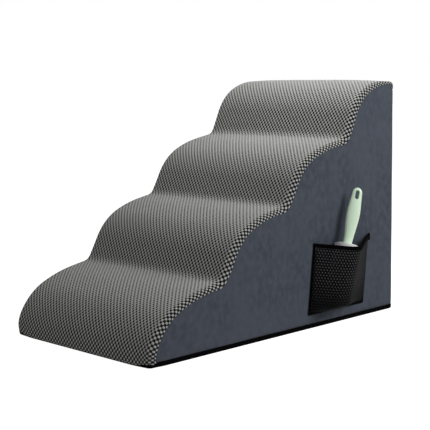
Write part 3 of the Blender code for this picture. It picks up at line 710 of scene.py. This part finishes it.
def add_liner_sides(build, line):
    """The two sides, up to the strip, each with a row of stitches under its seam."""
    least_height, stand, stitch_drop = 0.004, 0.0002, 0.002
    inside = line[:, 0] < line[:, 0].max() - 1e-6
    y, top = line[inside][:, 0], line[inside][:, 1] - LINER_TURN
    kept = rising(y)
    y, top = y[kept], np.maximum(top[kept], FOAM_FLOOR + least_height)
    share = np.linspace(0.0, 1.0, 50)[:, None]
    z = FOAM_FLOOR + (top[None, :] - FOAM_FLOOR) * share
    ripple = LINER_RIPPLE * (np.sin(37 * y[None, :] + 29 * z) * np.sin(41 * z) - 1)
    for side in (1, -1):
        sheet = soften(grid_of(side * (LINER_HALF - stand + ripple), y[None, :], z))
        build.grid(sheet if side > 0 else sheet[:, ::-1])
        seam = np.column_stack((np.full(len(y), side * LINER_HALF), y, top - stitch_drop))
        build.stitches(soften(seam), (side, 0.0, 0.0), mark=1)


def make_liner(fabric, thread):
    """Thin slip-over liner: one strip over the front, steps and back, sewn to two sides. Open underneath."""
    line, headings = liner_path()
    build = Build()
    add_liner_strip(build, line, headings)
    add_liner_sides(build, line)
    liner = fit(build.piece("liner", fabric, thread), "inner_liner")


# Cover


def across_section(across):
    """For distances across the mesh from its middle: x, and how far it has turned down the side."""
    half_flat = WIDTH / 2 - EDGE_RADIUS
    turn = np.clip((np.abs(across) - half_flat) / EDGE_RADIUS, 0.0, math.pi / 2)
    x = np.sign(across) * (np.minimum(np.abs(across), half_flat) + EDGE_RADIUS * np.sin(turn))
    return x, turn


def pod_relief(lattice_across, lattice_along):
    """Height of the fabric: raised pods, and a pit between each four."""
    pods = np.cos(2 * math.pi * lattice_across) * np.cos(2 * math.pi * lattice_along)
    raised = POD_HEIGHT * (POD_SHOULDER + (1 - POD_SHOULDER) * pods)
    return np.where(pods > -0.01, raised, HOLE_DEPTH * pods)


def painted_shade_share(wave, along, past_edge):
    """How much the pits are painted wider as shade: where the profile is steep, and where it turns down to a
    side seam.
    """
    upright, bias, rows_smoothed = 90.0, 1.4, 9
    turned_in = smooth_step(-0.022, -0.006, past_edge)
    steepness = np.clip((wave.heading(along) - TREAD_HEADING) / (upright - TREAD_HEADING), 0.0, 1.0)
    steepness = smoothed(steepness[:, 0] ** bias, rows_smoothed)[:, None]
    return np.maximum(steepness, turned_in)


def make_tread_cover(wave, fabric):
    """The mesh fabric. Its pods and holes are real relief, on a grid of four points to each pod."""
    squeeze, squeeze_width = 0.85, 0.004
    sink, sink_width = 0.0012, 0.003
    half_width = WIDTH / 2 - EDGE_RADIUS + EDGE_RADIUS * math.pi / 2
    columns = SAMPLES_PER_POD * round(2 * half_width / POD_PITCH_ACROSS) + 1
    rows = SAMPLES_PER_POD * round(wave.length / POD_PITCH_ALONG) + 1
    across = np.linspace(-half_width, half_width, columns)[None, :]
    along = np.linspace(0.0, wave.length, rows)[:, None]
    lattice_across = across / (2 * half_width) * (columns - 1) / SAMPLES_PER_POD
    lattice_along = along / wave.length * (rows - 1) / SAMPLES_PER_POD

    x, turn = across_section(across)
    past_edge = np.abs(across) - half_width
    lift = pod_relief(lattice_across, lattice_along)
    lift = lift * (1 - squeeze * smooth_step(0.0, squeeze_width, past_edge + squeeze_width))
    depth = wave.seam_depth(along) * (1 - np.cos(turn))
    out = lift * np.cos(turn) - depth - sink * smooth_step(0.0, sink_width, past_edge + sink_width)
    sideways = np.sign(across) * lift * np.sin(turn)
    y, z = (wave.point(along) + wave.outward(along) * out[..., None]).transpose(2, 0, 1)
    points = grid_of(x + sideways, y, z)
    near_floor = 1 - smooth_step(MESH_FLOOR, 0.030, points[..., 2])
    points[..., 2] += near_floor * hem_rise(points[..., 0], points[..., 1])

    build = Build()
    build.grid(soften(points)[:, ::-1])
    cover = build.piece("tread_cover", fabric)
    # The third value is how much painted shade widens the pits there.
    lattice = grid_of(lattice_across, lattice_along, painted_shade_share(wave, along, past_edge))
    attribute = cover.data.attributes.new("lattice", "FLOAT_VECTOR", "POINT")
    attribute.data.foreach_set("vector", lattice[:, ::-1].astype(np.float32).ravel())
    fit(cover, "tread_panel")


def side_columns(wave):
    """Plan of a side's sheet from front to back: y, distance in from the side, and the seam's height."""
    along = np.linspace(0.0, wave.length - REAR_DROP - REAR_RADIUS * 1.2, SEAM_SAMPLES)
    seam = wave.seam(along)
    seam = seam[rising(seam[:, 0]) & (seam[:, 0] < LENGTH / 2 - EDGE_RADIUS)]
    turns = np.linspace(0.0, math.pi / 2, 9)
    corner_y = LENGTH / 2 - EDGE_RADIUS + EDGE_RADIUS * np.sin(turns)
    corner_top = REAR_SEAM + (seam[-1, 1] - REAR_SEAM) * (1 - np.sin(turns)) ** 2
    y = np.concatenate((seam[:, 0], corner_y))
    inward = np.concatenate((np.zeros(len(seam)), EDGE_RADIUS * (1 - np.cos(turns))))
    return y, inward, np.concatenate((seam[:, 1], corner_top))


def make_side_cover(wave, side, fabric):
    """Suede side. It sinks a little into its seams and swells a little between them."""
    rim_tuck, rim_sink, rim_reach = 0.001, 0.0006, 0.006
    seam_tuck, seam_sink, seam_reach = 0.0012, 0.0016, 0.009
    y, inward, top = side_columns(wave)
    share = np.linspace(0.0, 1.0, 56)[:, None] ** 0.92  # rows a little closer together towards the seam
    z = RIM_HEIGHT - rim_tuck + (top[None, :] + seam_tuck - RIM_HEIGHT + rim_tuck) * share
    y_grid = np.broadcast_to(y[None, :], z.shape)
    from_seam = np.minimum(top[None, :] - z, (y_grid - y[0]) * 1.5 + 0.001)
    sunk = seam_sink * (1 - smooth_step(0.0, seam_reach, from_seam))
    sunk = sunk + rim_sink * (1 - smooth_step(0.0, rim_reach, z - RIM_HEIGHT))
    ripple = 0.00025 * np.sin(31 * y_grid + 17 * z) * np.sin(23 * z - 9 * y_grid)
    points = soften(grid_of(side * (WIDTH / 2 - inward[None, :] - GAP - sunk + ripple), y_grid, z))
    build = Build()
    build.grid(points if side > 0 else points[:, ::-1])
    hand = "right" if side > 0 else "left"
    cover = build.piece("side_cover_" + hand, fabric)
    add_thickness(cover, CLOTH_THICKNESS)
    fit(cover, "side_panel_" + hand)


def make_back_cover(fabric):
    """Suede back, sunk a little along its edges, with the zip's tapes sewn under it."""
    sink, reach, ripple = 0.0014, 0.010, 0.0002
    low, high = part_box("back_panel")
    x = np.linspace(low.x, high.x, 80)[None, :]
    z = np.linspace(low.z, high.z, 96)[:, None]
    from_edge = np.minimum(np.minimum(x - low.x, high.x - x), np.minimum(z - low.z, high.z - z))
    sunk = sink * (1 - smooth_step(0.0, reach, from_edge))
    build = Build()
    build.grid(grid_of(x, LENGTH / 2 - sunk + ripple * np.sin(29 * x) * np.sin(21 * z), z)[:, ::-1])
    cover = build.piece("back_cover", fabric)
    add_thickness(cover, CLOTH_THICKNESS)
    fit(cover, "back_panel")


def make_base(fabric, rubber):
    """Non-slip underside: a cloth with a field of small rubber dots that touch the floor."""
    low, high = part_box("base_panel")
    lift, margin, pitch, radius = 0.0008, 0.006, 0.010, 0.0016
    x = np.linspace(low.x, high.x, 40)[None, :]
    y = np.linspace(low.y, high.y, 70)[:, None]
    build = Build()
    build.grid(grid_of(x, y, lift)[:, ::-1])
    for row, centre_y in enumerate(np.arange(low.y + margin, high.y - margin, pitch / 2)):
        shift = pitch / 2 * (row % 2)
        for centre_x in np.arange(low.x + margin + shift, high.x - margin, pitch):
            add_dot(build, (centre_x, centre_y), lift, radius)
    build.points = [tuple(point) for point in soften(build.points)]
    base = fit(build.piece("base_cloth", fabric, rubber), "base_panel")


def add_dot(build, centre, lift, radius):
    """A low rubber dome that hangs from the cloth down to the floor."""
    points = []
    for share, height in ((1.0, lift), (0.7, 0.0002), (0.0, 0.0)):
        for side in range(DOT_SIDES if share else 1):
            turn = 2 * math.pi * side / DOT_SIDES
            x = centre[0] + share * radius * math.cos(turn)
            y = centre[1] + share * radius * math.sin(turn)
            points.append((x, y, height))
    faces = []
    for side in range(DOT_SIDES):
        after = (side + 1) % DOT_SIDES
        faces.append((side, DOT_SIDES + side, DOT_SIDES + after, after))
        faces.append((DOT_SIDES + side, 2 * DOT_SIDES, DOT_SIDES + after))
    build.add(points, faces, mark=1)


def foot_section(height, radius, turn_in, thickness):
    """Closed section of a foot band as (distance in, height): down the side, round, and in under the base."""
    outer = [(0.0, height)]
    for turn in np.linspace(0.0, math.pi / 2, 6):
        outer.append((radius * (1 - math.cos(turn)), radius * (1 - math.sin(turn))))
    outer.append((turn_in, 0.0))
    inner_radius = max(radius - thickness, 0.0004)  # never quite a sharp corner
    inner = [(turn_in, thickness)]
    for turn in np.linspace(math.pi / 2, 0.0, 6):
        inner.append((radius - inner_radius * math.cos(turn), radius - inner_radius * math.sin(turn)))
    inner.append((thickness, height))
    return outer + inner


def plan_points(path, spacing=0.004):
    """Plan path of (point, heading), with more points along its straights."""
    fine = [path[0]]
    for (start, _), (end, heading) in zip(path, path[1:]):
        steps = max(1, math.ceil(np.linalg.norm(end - start) / spacing))
        for step in range(1, steps + 1):
            fine.append((start + (end - start) * step / steps, heading))
    return fine


def make_foot_band(name, node, path, section, fabric, stitch_height=None, rise=None):
    """A section swept along a plan path, with a row of stitches if it has a height for them."""
    path = plan_points(path)
    points = np.empty((len(section), len(path), 3))
    for column, (place, heading) in enumerate(path):
        for row, (distance, height) in enumerate(section):
            plan = place - distance * outward(heading)
            extra = float(rise(*place)) * height / HEM_HEIGHT if rise else 0.0
            points[row, column] = (plan[0], plan[1], height + extra)
    build = Build()
    build.grid(soften(points)[:, ::-1], wrap=True)
    if stitch_height:
        stand = 0.0001
        line = [(*(place + stand * outward(heading)), stitch_height) for place, heading in path]
        build.stitches(soften(line), [(*outward(heading), 0.0) for _, heading in path])
    return fit(build.piece(name, fabric), node)


def make_foot_bands(fabric):
    """The three rims, and the front's thin hem, which is given back to go with the mesh."""
    rim = foot_section(RIM_HEIGHT, radius=0.004, turn_in=0.006, thickness=0.0016)
    hem = foot_section(HEM_HEIGHT, radius=0.0024, turn_in=0.006, thickness=0.0008)
    side_x, seam_y = WIDTH / 2, LENGTH / 2 - EDGE_RADIUS
    corner_step = 9.0  # degrees
    right = [(np.array((side_x - EDGE_RADIUS, LENGTH / 2)), 0.0)]
    run_arc(right, EDGE_RADIUS, -90.0, corner_step)
    run_straight(right, 2 * seam_y - GAP)
    left = [(np.array((-side_x, -seam_y + GAP)), 90.0)]
    run_straight(left, 2 * seam_y - GAP)
    run_arc(left, EDGE_RADIUS, 0.0, corner_step)
    back = [(np.array((-side_x + EDGE_RADIUS + GAP, LENGTH / 2)), 0.0)]
    run_straight(back, WIDTH - 2 * EDGE_RADIUS - 2 * GAP)
    front = [(np.array((side_x, -seam_y)), -90.0)]
    run_arc(front, EDGE_RADIUS, -180.0, corner_step)
    run_straight(front, WIDTH - 2 * EDGE_RADIUS)
    run_arc(front, EDGE_RADIUS, -270.0, corner_step)
    for name, path in (("right", right), ("left", left), ("back", back)):
        band = make_foot_band("rim_" + name, "base_rim_" + name, path, rim, fabric, RIM_STITCH_HEIGHT)
    return make_foot_band("hem_front", "front_hem", front, hem, fabric, rise=hem_rise)


# Zip and label


def make_zip(tape_fabric, nylon):
    """Two ribbed tapes, each reaching down to what is sewn below it, with its stitches and its teeth."""
    rib, overlap, stitch_inset = 0.0001, 0.0001, 0.0012
    tapes = []
    for name, side in (("upper", 1), ("lower", -1)):
        low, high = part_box("zip_tape_" + name)
        x = np.linspace(low.x, high.x, 120)[None, :]
        z = np.linspace(low.z - GAP - overlap, high.z, 6)[:, None]
        build = Build()
        build.grid(grid_of(x, high.y - rib * np.cos(x * 900) - rib, z)[:, ::-1])
        edge = low.z + stitch_inset if side < 0 else high.z - stitch_inset
        line = [(value, high.y, edge) for value in np.linspace(low.x, high.x, 60)]
        build.stitches(line, (0.0, 1.0, 0.0))
        tape = build.piece("tape_" + name, tape_fabric)
        add_thickness(tape, 0.0005)
        tapes.append(fit(tape, "zip_tape_" + name))
        make_teeth(name, side, nylon)
    return tapes


def make_teeth(name, side, nylon):
    """Nylon coil: a row of short loops, half a pitch off the other row."""
    pitch, length, radius, overlap = 0.0015, 0.0026, 0.00062, 0.0001
    low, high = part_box("zip_teeth_" + name)
    build = Build()
    start = low.x + pitch / 2 + (pitch / 2 if side < 0 else 0.0)
    for x in np.arange(start, high.x - pitch / 2, pitch):
        centre = np.array((x, (low.y + high.y) / 2, (low.z + high.z) / 2 - side * overlap))
        build.dash(centre, (0.0, 0.0, 1.0), (1.0, 0.0, 0.0), length, radius)
    fit(build.piece("teeth_" + name, nylon), "zip_teeth_" + name)


def make_label(satin, thread):
    """Blank label with a stitched border. It curls out a little towards its free lower edge."""
    rows, columns, border = 24, 16, 3
    stand, curl, wave = 0.0003, 0.0016, 0.0003
    low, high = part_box("care_label")
    x = np.linspace(low.x, high.x, columns)[None, :]
    z = np.linspace(low.z, high.z, rows)[:, None]
    down = (high.z - z) / (high.z - low.z)
    y = low.y + stand + curl * down**2 + wave * np.sin((x - low.x) * 260) * down
    points = grid_of(x, y, z)
    build = Build()
    build.grid(points[:, ::-1])
    for row in (border, -border):
        build.stitches(points[row, 1:-1], (0.0, 1.0, 0.0), mark=1)
    for column in (border - 1, -border):
        build.stitches(points[border : 1 - border, column], (0.0, 1.0, 0.0), mark=1)
    label = build.piece("label", satin, thread)
    add_thickness(label, 0.0003)
    fit(label, "care_label")


# Pocket


def pocket_edges(height):
    front = POCKET_FRONT + height * math.tan(POCKET_LEAN)
    return front, front + POCKET_WIDTH


def pocket_turns(height):
    """Where the cloth starts, passes the roller and ends at a height, and how far it turns on each side."""
    front, rear = pocket_edges(height)
    level = max(POCKET_FLOOR + height, ROLL_BOTTOM)
    centre = ROLL_FOOT.y + (level - ROLL_FOOT.z) * math.tan(ROLLER_LEAN)
    front_turn = 2 * math.atan(CLEAR_RADIUS / (centre - front))
    rear_turn = 2 * math.atan(CLEAR_RADIUS / (rear - centre))
    return front, centre, rear, front_turn, rear_turn


def pocket_length(height):
    """The cloth's length round the roller, from its front edge to its rear edge."""
    front, _, rear, front_turn, rear_turn = pocket_turns(height)
    return rear - front + CLEAR_RADIUS * (front_turn + rear_turn)


def pocket_point(share, height, stand=0.0):
    """Point of the pocket's cloth and its outward normal, by share of the way round from front to rear."""
    front, centre, rear, front_turn, rear_turn = pocket_turns(height)
    length = pocket_length(height)
    distance = share * length
    if distance < centre - front:
        y, out = front + distance * math.cos(front_turn), distance * math.sin(front_turn)
        turn = -front_turn
    elif distance < length - (rear - centre):
        turn = (distance - (centre - front)) / CLEAR_RADIUS - front_turn
        y, out = centre + CLEAR_RADIUS * math.sin(turn), CLEAR_RADIUS * (1 + math.cos(turn))
    else:
        left = length - distance
        y, out = rear - left * math.cos(rear_turn), left * math.sin(rear_turn)
        turn = rear_turn
    normal = np.array((math.cos(turn), math.sin(turn), 0.0))
    filled = min(1.0, max(0.0, height) / (ROLL_BOTTOM - POCKET_FLOOR))
    dip = POCKET_DIP * height / POCKET_HEIGHT * out / (2 * CLEAR_RADIUS)
    x = WIDTH / 2 + GAP + math.sin(math.pi / 2 * filled) * out
    return np.array((x, y, POCKET_FLOOR + height - dip)) + stand * normal, normal


def make_pocket_net(fabric):
    """Hexagonal net with real holes, so that the roller and the suede show through."""
    overlap, stand, mouth_stand = 0.002, 0.0007, 0.00065
    top = POCKET_HEIGHT - MOUTH_BINDING_HEIGHT + overlap
    foot = BINDING_WIDTH - overlap
    width = pocket_length(0.0)
    margin = foot / width
    corners, faces, knotted = net_cells(width, foot, top)
    points = []
    for across, up in corners:
        share = margin + (1 - 2 * margin) * min(1.0, max(0.0, across / width))
        height = min(up, top)
        out = stand + mouth_stand * float(smooth_step(top - 0.020, top - 0.006, height))
        points.append(pocket_point(share, height, out)[0])
    build = Build()
    build.add(points, faces)
    net = build.piece("pocket_net", fabric)
    knots = np.zeros(len(points), np.float32)
    knots[knotted] = 1.0
    net.data.attributes.new("knot", "FLOAT", "POINT").data.foreach_set("value", knots)
    add_thickness(net, NET_THICKNESS)
    fit(net, "pocket_mesh")


def net_cells(width, foot, top):
    """A flat hexagonal net: its corners as (across, up), its faces, and which corners are knots."""
    row_pitch = NET_CELL * math.sqrt(3) / 2
    size = NET_CELL / math.sqrt(3)
    spots, faces, knotted = {}, [], []

    def corner(centre, number, share):
        turn = math.radians(60 * number + 30)
        across = centre[0] + share * size * math.cos(turn)
        up = centre[1] + share * size * math.sin(turn)
        return spots.setdefault((round(across * MICRONS), round(up * MICRONS)), len(spots))

    for row in range(int((top - foot) / row_pitch)):
        for column in range(int(width / NET_CELL)):
            centre = ((column + 0.5 + 0.5 * (row % 2)) * NET_CELL, foot + (row + 0.7) * row_pitch)
            outer = [corner(centre, number, 1.0) for number in range(6)]
            inner = [corner(centre, number, NET_HOLE) for number in range(6)]
            knotted += outer[::2]
            for number in range(6):
                after = (number + 1) % 6
                faces.append((outer[number], outer[after], inner[after], inner[number]))
    return [(across / MICRONS, up / MICRONS) for across, up in spots], faces, knotted


def make_mouth_binding(fabric):
    """Tape folded over the pocket's mouth, with a row of stitches near its lower edge."""
    stitch_drop, stitch_stand = MOUTH_BINDING_HEIGHT * 0.3, 0.0022
    outer = [(-0.5, -0.5), (-0.5, 0.25), (-0.3, 0.45), (0.0, 0.5), (0.3, 0.45), (0.5, 0.25), (0.5, -0.5)]
    inner = [(0.14, -0.5), (0.14, 0.28), (0.0, 0.34), (-0.14, 0.28), (-0.14, -0.5)]
    section = outer + inner
    shares = np.linspace(0.0, 1.0, 90)
    middle = POCKET_HEIGHT - MOUTH_BINDING_HEIGHT / 2
    points = np.empty((len(section), len(shares), 3))
    for column, share in enumerate(shares):
        rolled = float(smooth_step(*ROLLED_SHARES, share))
        thickness = MOUTH_BINDING_THICKNESS * (1 + (ROLLED_END[0] - 1) * rolled)
        height = MOUTH_BINDING_HEIGHT * (1 + (ROLLED_END[1] - 1) * rolled)
        place, normal = pocket_point(share, middle, thickness / 2)
        for row, (thick, tall) in enumerate(section):
            points[row, column] = place + normal * thick * thickness + np.array((0, 0, tall * height))
    build = Build()
    build.grid(points, wrap=True)
    line = [pocket_point(share, middle - stitch_drop, stitch_stand) for share in shares]
    build.stitches([place for place, _ in line], [normal for _, normal in line])
    binding = fit(build.piece("mouth_binding", fabric), "pocket_mouth_binding")


def edge_corner(height, rear, inset):
    y = pocket_edges(height)[rear] + (-inset if rear else inset)
    return np.array((y, POCKET_FLOOR + height))


def edge_line(inset, top):
    """U-shaped line round the pocket's sewn edges, that far in from them."""
    corners = [edge_corner(top, 0, inset), edge_corner(inset, 0, inset)]
    corners += [edge_corner(inset, 1, inset), edge_corner(top, 1, inset)]
    line = []
    for start, end, steps in zip(corners, corners[1:], (34, 44, 34)):
        line += [start + (end - start) * step / steps for step in range(steps)]
    return line + [corners[-1]]


def overlock(build, line):
    """Threads across the pocket's raw edge, a little proud of it, so that the edge looks scalloped."""
    stand, step = 0.0008, 1e-4
    distances = distances_along(line)
    for place in np.arange(OVERLOCK_PITCH, distances[-1], OVERLOCK_PITCH):
        before, after = (line_at(place + move, distances, line) for move in (-step, step))
        along = after - before
        across = np.array((0.0, along[1], -along[0]))
        centre = np.array((WIDTH / 2 + stand, *before))
        build.dash(centre, across, (1.0, 0.0, 0.0), OVERLOCK_LENGTH, OVERLOCK_RADIUS)


def make_edge_binding(fabric):
    """Tape folded over the pocket's three sewn edges."""
    thickness, tuck = 0.0015, 0.0002
    top = POCKET_HEIGHT - MOUTH_BINDING_HEIGHT - GAP
    outer = [(1.0, 0.0), (0.0, 0.0), (0.0, 0.7), (0.12, 1.0), (0.5, 1.1), (1.0, 1.05)]
    inner = [(1.0, 0.82), (0.5, 0.85), (0.2, 0.80), (0.2, 0.45), (1.0, 0.45)]
    rows = []
    for inset, lift in outer + inner:
        x = WIDTH / 2 - tuck + lift * thickness
        rows.append([(x, y, z) for y, z in edge_line(inset * BINDING_WIDTH, top)])
    build = Build()
    build.grid(np.array(rows)[::-1], wrap=True)
    edge = edge_line(0.0, top)
    overlock(build, edge)
    line = [(WIDTH / 2 + thickness, y, z) for y, z in edge_line(BINDING_WIDTH * 0.7, top)]
    build.stitches(line, (1.0, 0.0, 0.0))
    binding = fit(build.piece("edge_binding", fabric), "pocket_edge_binding")


# CAD nodes that stay


def finish_node(name, material, sharp_degrees=40.0):
    """A better material and smooth shading for a CAD node. Its points stay where they are."""
    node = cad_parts[name]
    node.data.materials.clear()
    node.data.materials.append(material)
    node.data.polygons.foreach_set("use_smooth", [True] * len(node.data.polygons))
    node.data.set_sharp_from_angle(angle=math.radians(sharp_degrees))


def finish_nodes():
    metal, white = zip_metal(), white_plastic()
    for name in ("zip_stop_left", "zip_stop_right", "zip_slider", "zip_pull"):
        finish_node(name, metal)
    for name in ("roller_drum", "drum_end_cap"):
        finish_node(name, white)
    finish_node("roller_handle", green_plastic())
    finish_node("roller_axle", axle_steel())
    finish_node("paper_core", cardboard())
    finish_node("adhesive_sheets", adhesive_paper())


# Camera, floor and light


def make_camera():
    azimuth, elevation = math.radians(CAMERA_AZIMUTH), math.radians(CAMERA_ELEVATION)
    level = math.cos(elevation)
    forward = Vector((-math.sin(azimuth) * level, math.cos(azimuth) * level, -math.sin(elevation)))
    roll = Matrix.Rotation(math.radians(CAMERA_ROLL), 3, "Z")
    turn = forward.to_track_quat("-Z", "Y").to_matrix() @ roll
    data = bpy.data.cameras.new("camera")
    data.lens = CAMERA_LENS
    data.sensor_width = 36.0
    data.shift_x, data.shift_y = CAMERA_SHIFT
    camera = link(bpy.data.objects.new("camera", data))
    camera.matrix_world = Matrix.Translation(CAMERA_PLACE) @ turn.to_4x4()
    bpy.context.scene.camera = camera


def make_floor():
    reach = 20.0
    corners = [(-reach, -reach, 0), (reach, -reach, 0), (reach, reach, 0), (-reach, reach, 0)]
    build = Build()
    build.add(corners, [(0, 1, 2, 3)])
    floor = build.piece("floor", pale_floor())
    floor.visible_diffuse = False  # its glow is only a backdrop and isn't meant to light the ramp


def make_softbox(name, place, target, size, power):
    data = bpy.data.lights.new(name, "AREA")
    data.shape = "SQUARE"
    data.size = size
    data.energy = power
    light = link(bpy.data.objects.new(name, data))
    light.location = place
    light.rotation_euler = (Vector(target) - Vector(place)).to_track_quat("-Z", "Y").to_euler()
    light.visible_camera = False


def make_light():
    """A softbox over the top, one to the side, an even fill from all round, and a white studio behind."""
    scene = bpy.context.scene
    scene.view_settings.view_transform = "Standard"
    scene.world = bpy.data.worlds.new("studio")
    scene.world.use_nodes = True
    tree = scene.world.node_tree
    fill = tree.nodes["Background"]
    fill.inputs["Color"].default_value = (1.0, 1.0, 1.0, 1.0)
    fill.inputs["Strength"].default_value = FILL_LIGHT
    backdrop = tree.nodes.new("ShaderNodeBackground")
    backdrop.inputs["Color"].default_value = (1.0, 1.0, 1.0, 1.0)
    mix = tree.nodes.new("ShaderNodeMixShader")
    seen = tree.nodes.new("ShaderNodeLightPath")
    tree.links.new(seen.outputs["Is Camera Ray"], mix.inputs[0])
    tree.links.new(fill.outputs[0], mix.inputs[1])
    tree.links.new(backdrop.outputs[0], mix.inputs[2])
    tree.links.new(mix.outputs[0], tree.nodes["World Output"].inputs["Surface"])
    for softbox in SOFTBOXES:
        make_softbox(*softbox)


def main():
    wave = Wave()
    make_camera()
    make_floor()
    make_light()
    firm = foam("firm_foam", (0.76, 0.71, 0.56), (0.88, 0.83, 0.70), cell=500.0)
    soft = foam("soft_foam", (0.84, 0.82, 0.76), (0.93, 0.91, 0.86), cell=800.0)
    make_foam("foam_block", "foam_base", firm, voxel=0.006)
    make_foam("comfort_foam_block", "comfort_foam", soft, voxel=0.005)
    make_liner(liner_cloth(), label_satin())
    blue_suede = suede()
    rim_black = woven_black("rim_weave")
    binding_black = woven_black("binding_weave")
    make_base(woven_black("base_weave"), rubber_dots())
    hem = make_foot_bands(rim_black)
    make_tread_cover(wave, mesh_fabric())
    make_side_cover(wave, 1, blue_suede)
    make_side_cover(wave, -1, blue_suede)
    tapes = make_zip(woven_black("zip_tape_weave", (0.014, 0.014, 0.015), rib=3200.0), zip_nylon())
    make_back_cover(blue_suede)
    make_label(label_satin(), rim_black)
    make_pocket_net(net_fabric())
    make_mouth_binding(binding_black)
    make_edge_binding(binding_black)
    finish_nodes()


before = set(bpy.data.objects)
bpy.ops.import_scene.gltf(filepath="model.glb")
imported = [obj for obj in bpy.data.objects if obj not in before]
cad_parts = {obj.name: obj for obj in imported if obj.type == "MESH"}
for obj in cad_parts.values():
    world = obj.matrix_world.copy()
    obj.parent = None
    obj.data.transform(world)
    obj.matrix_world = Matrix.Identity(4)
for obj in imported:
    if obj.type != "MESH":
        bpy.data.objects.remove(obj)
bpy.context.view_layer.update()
main()
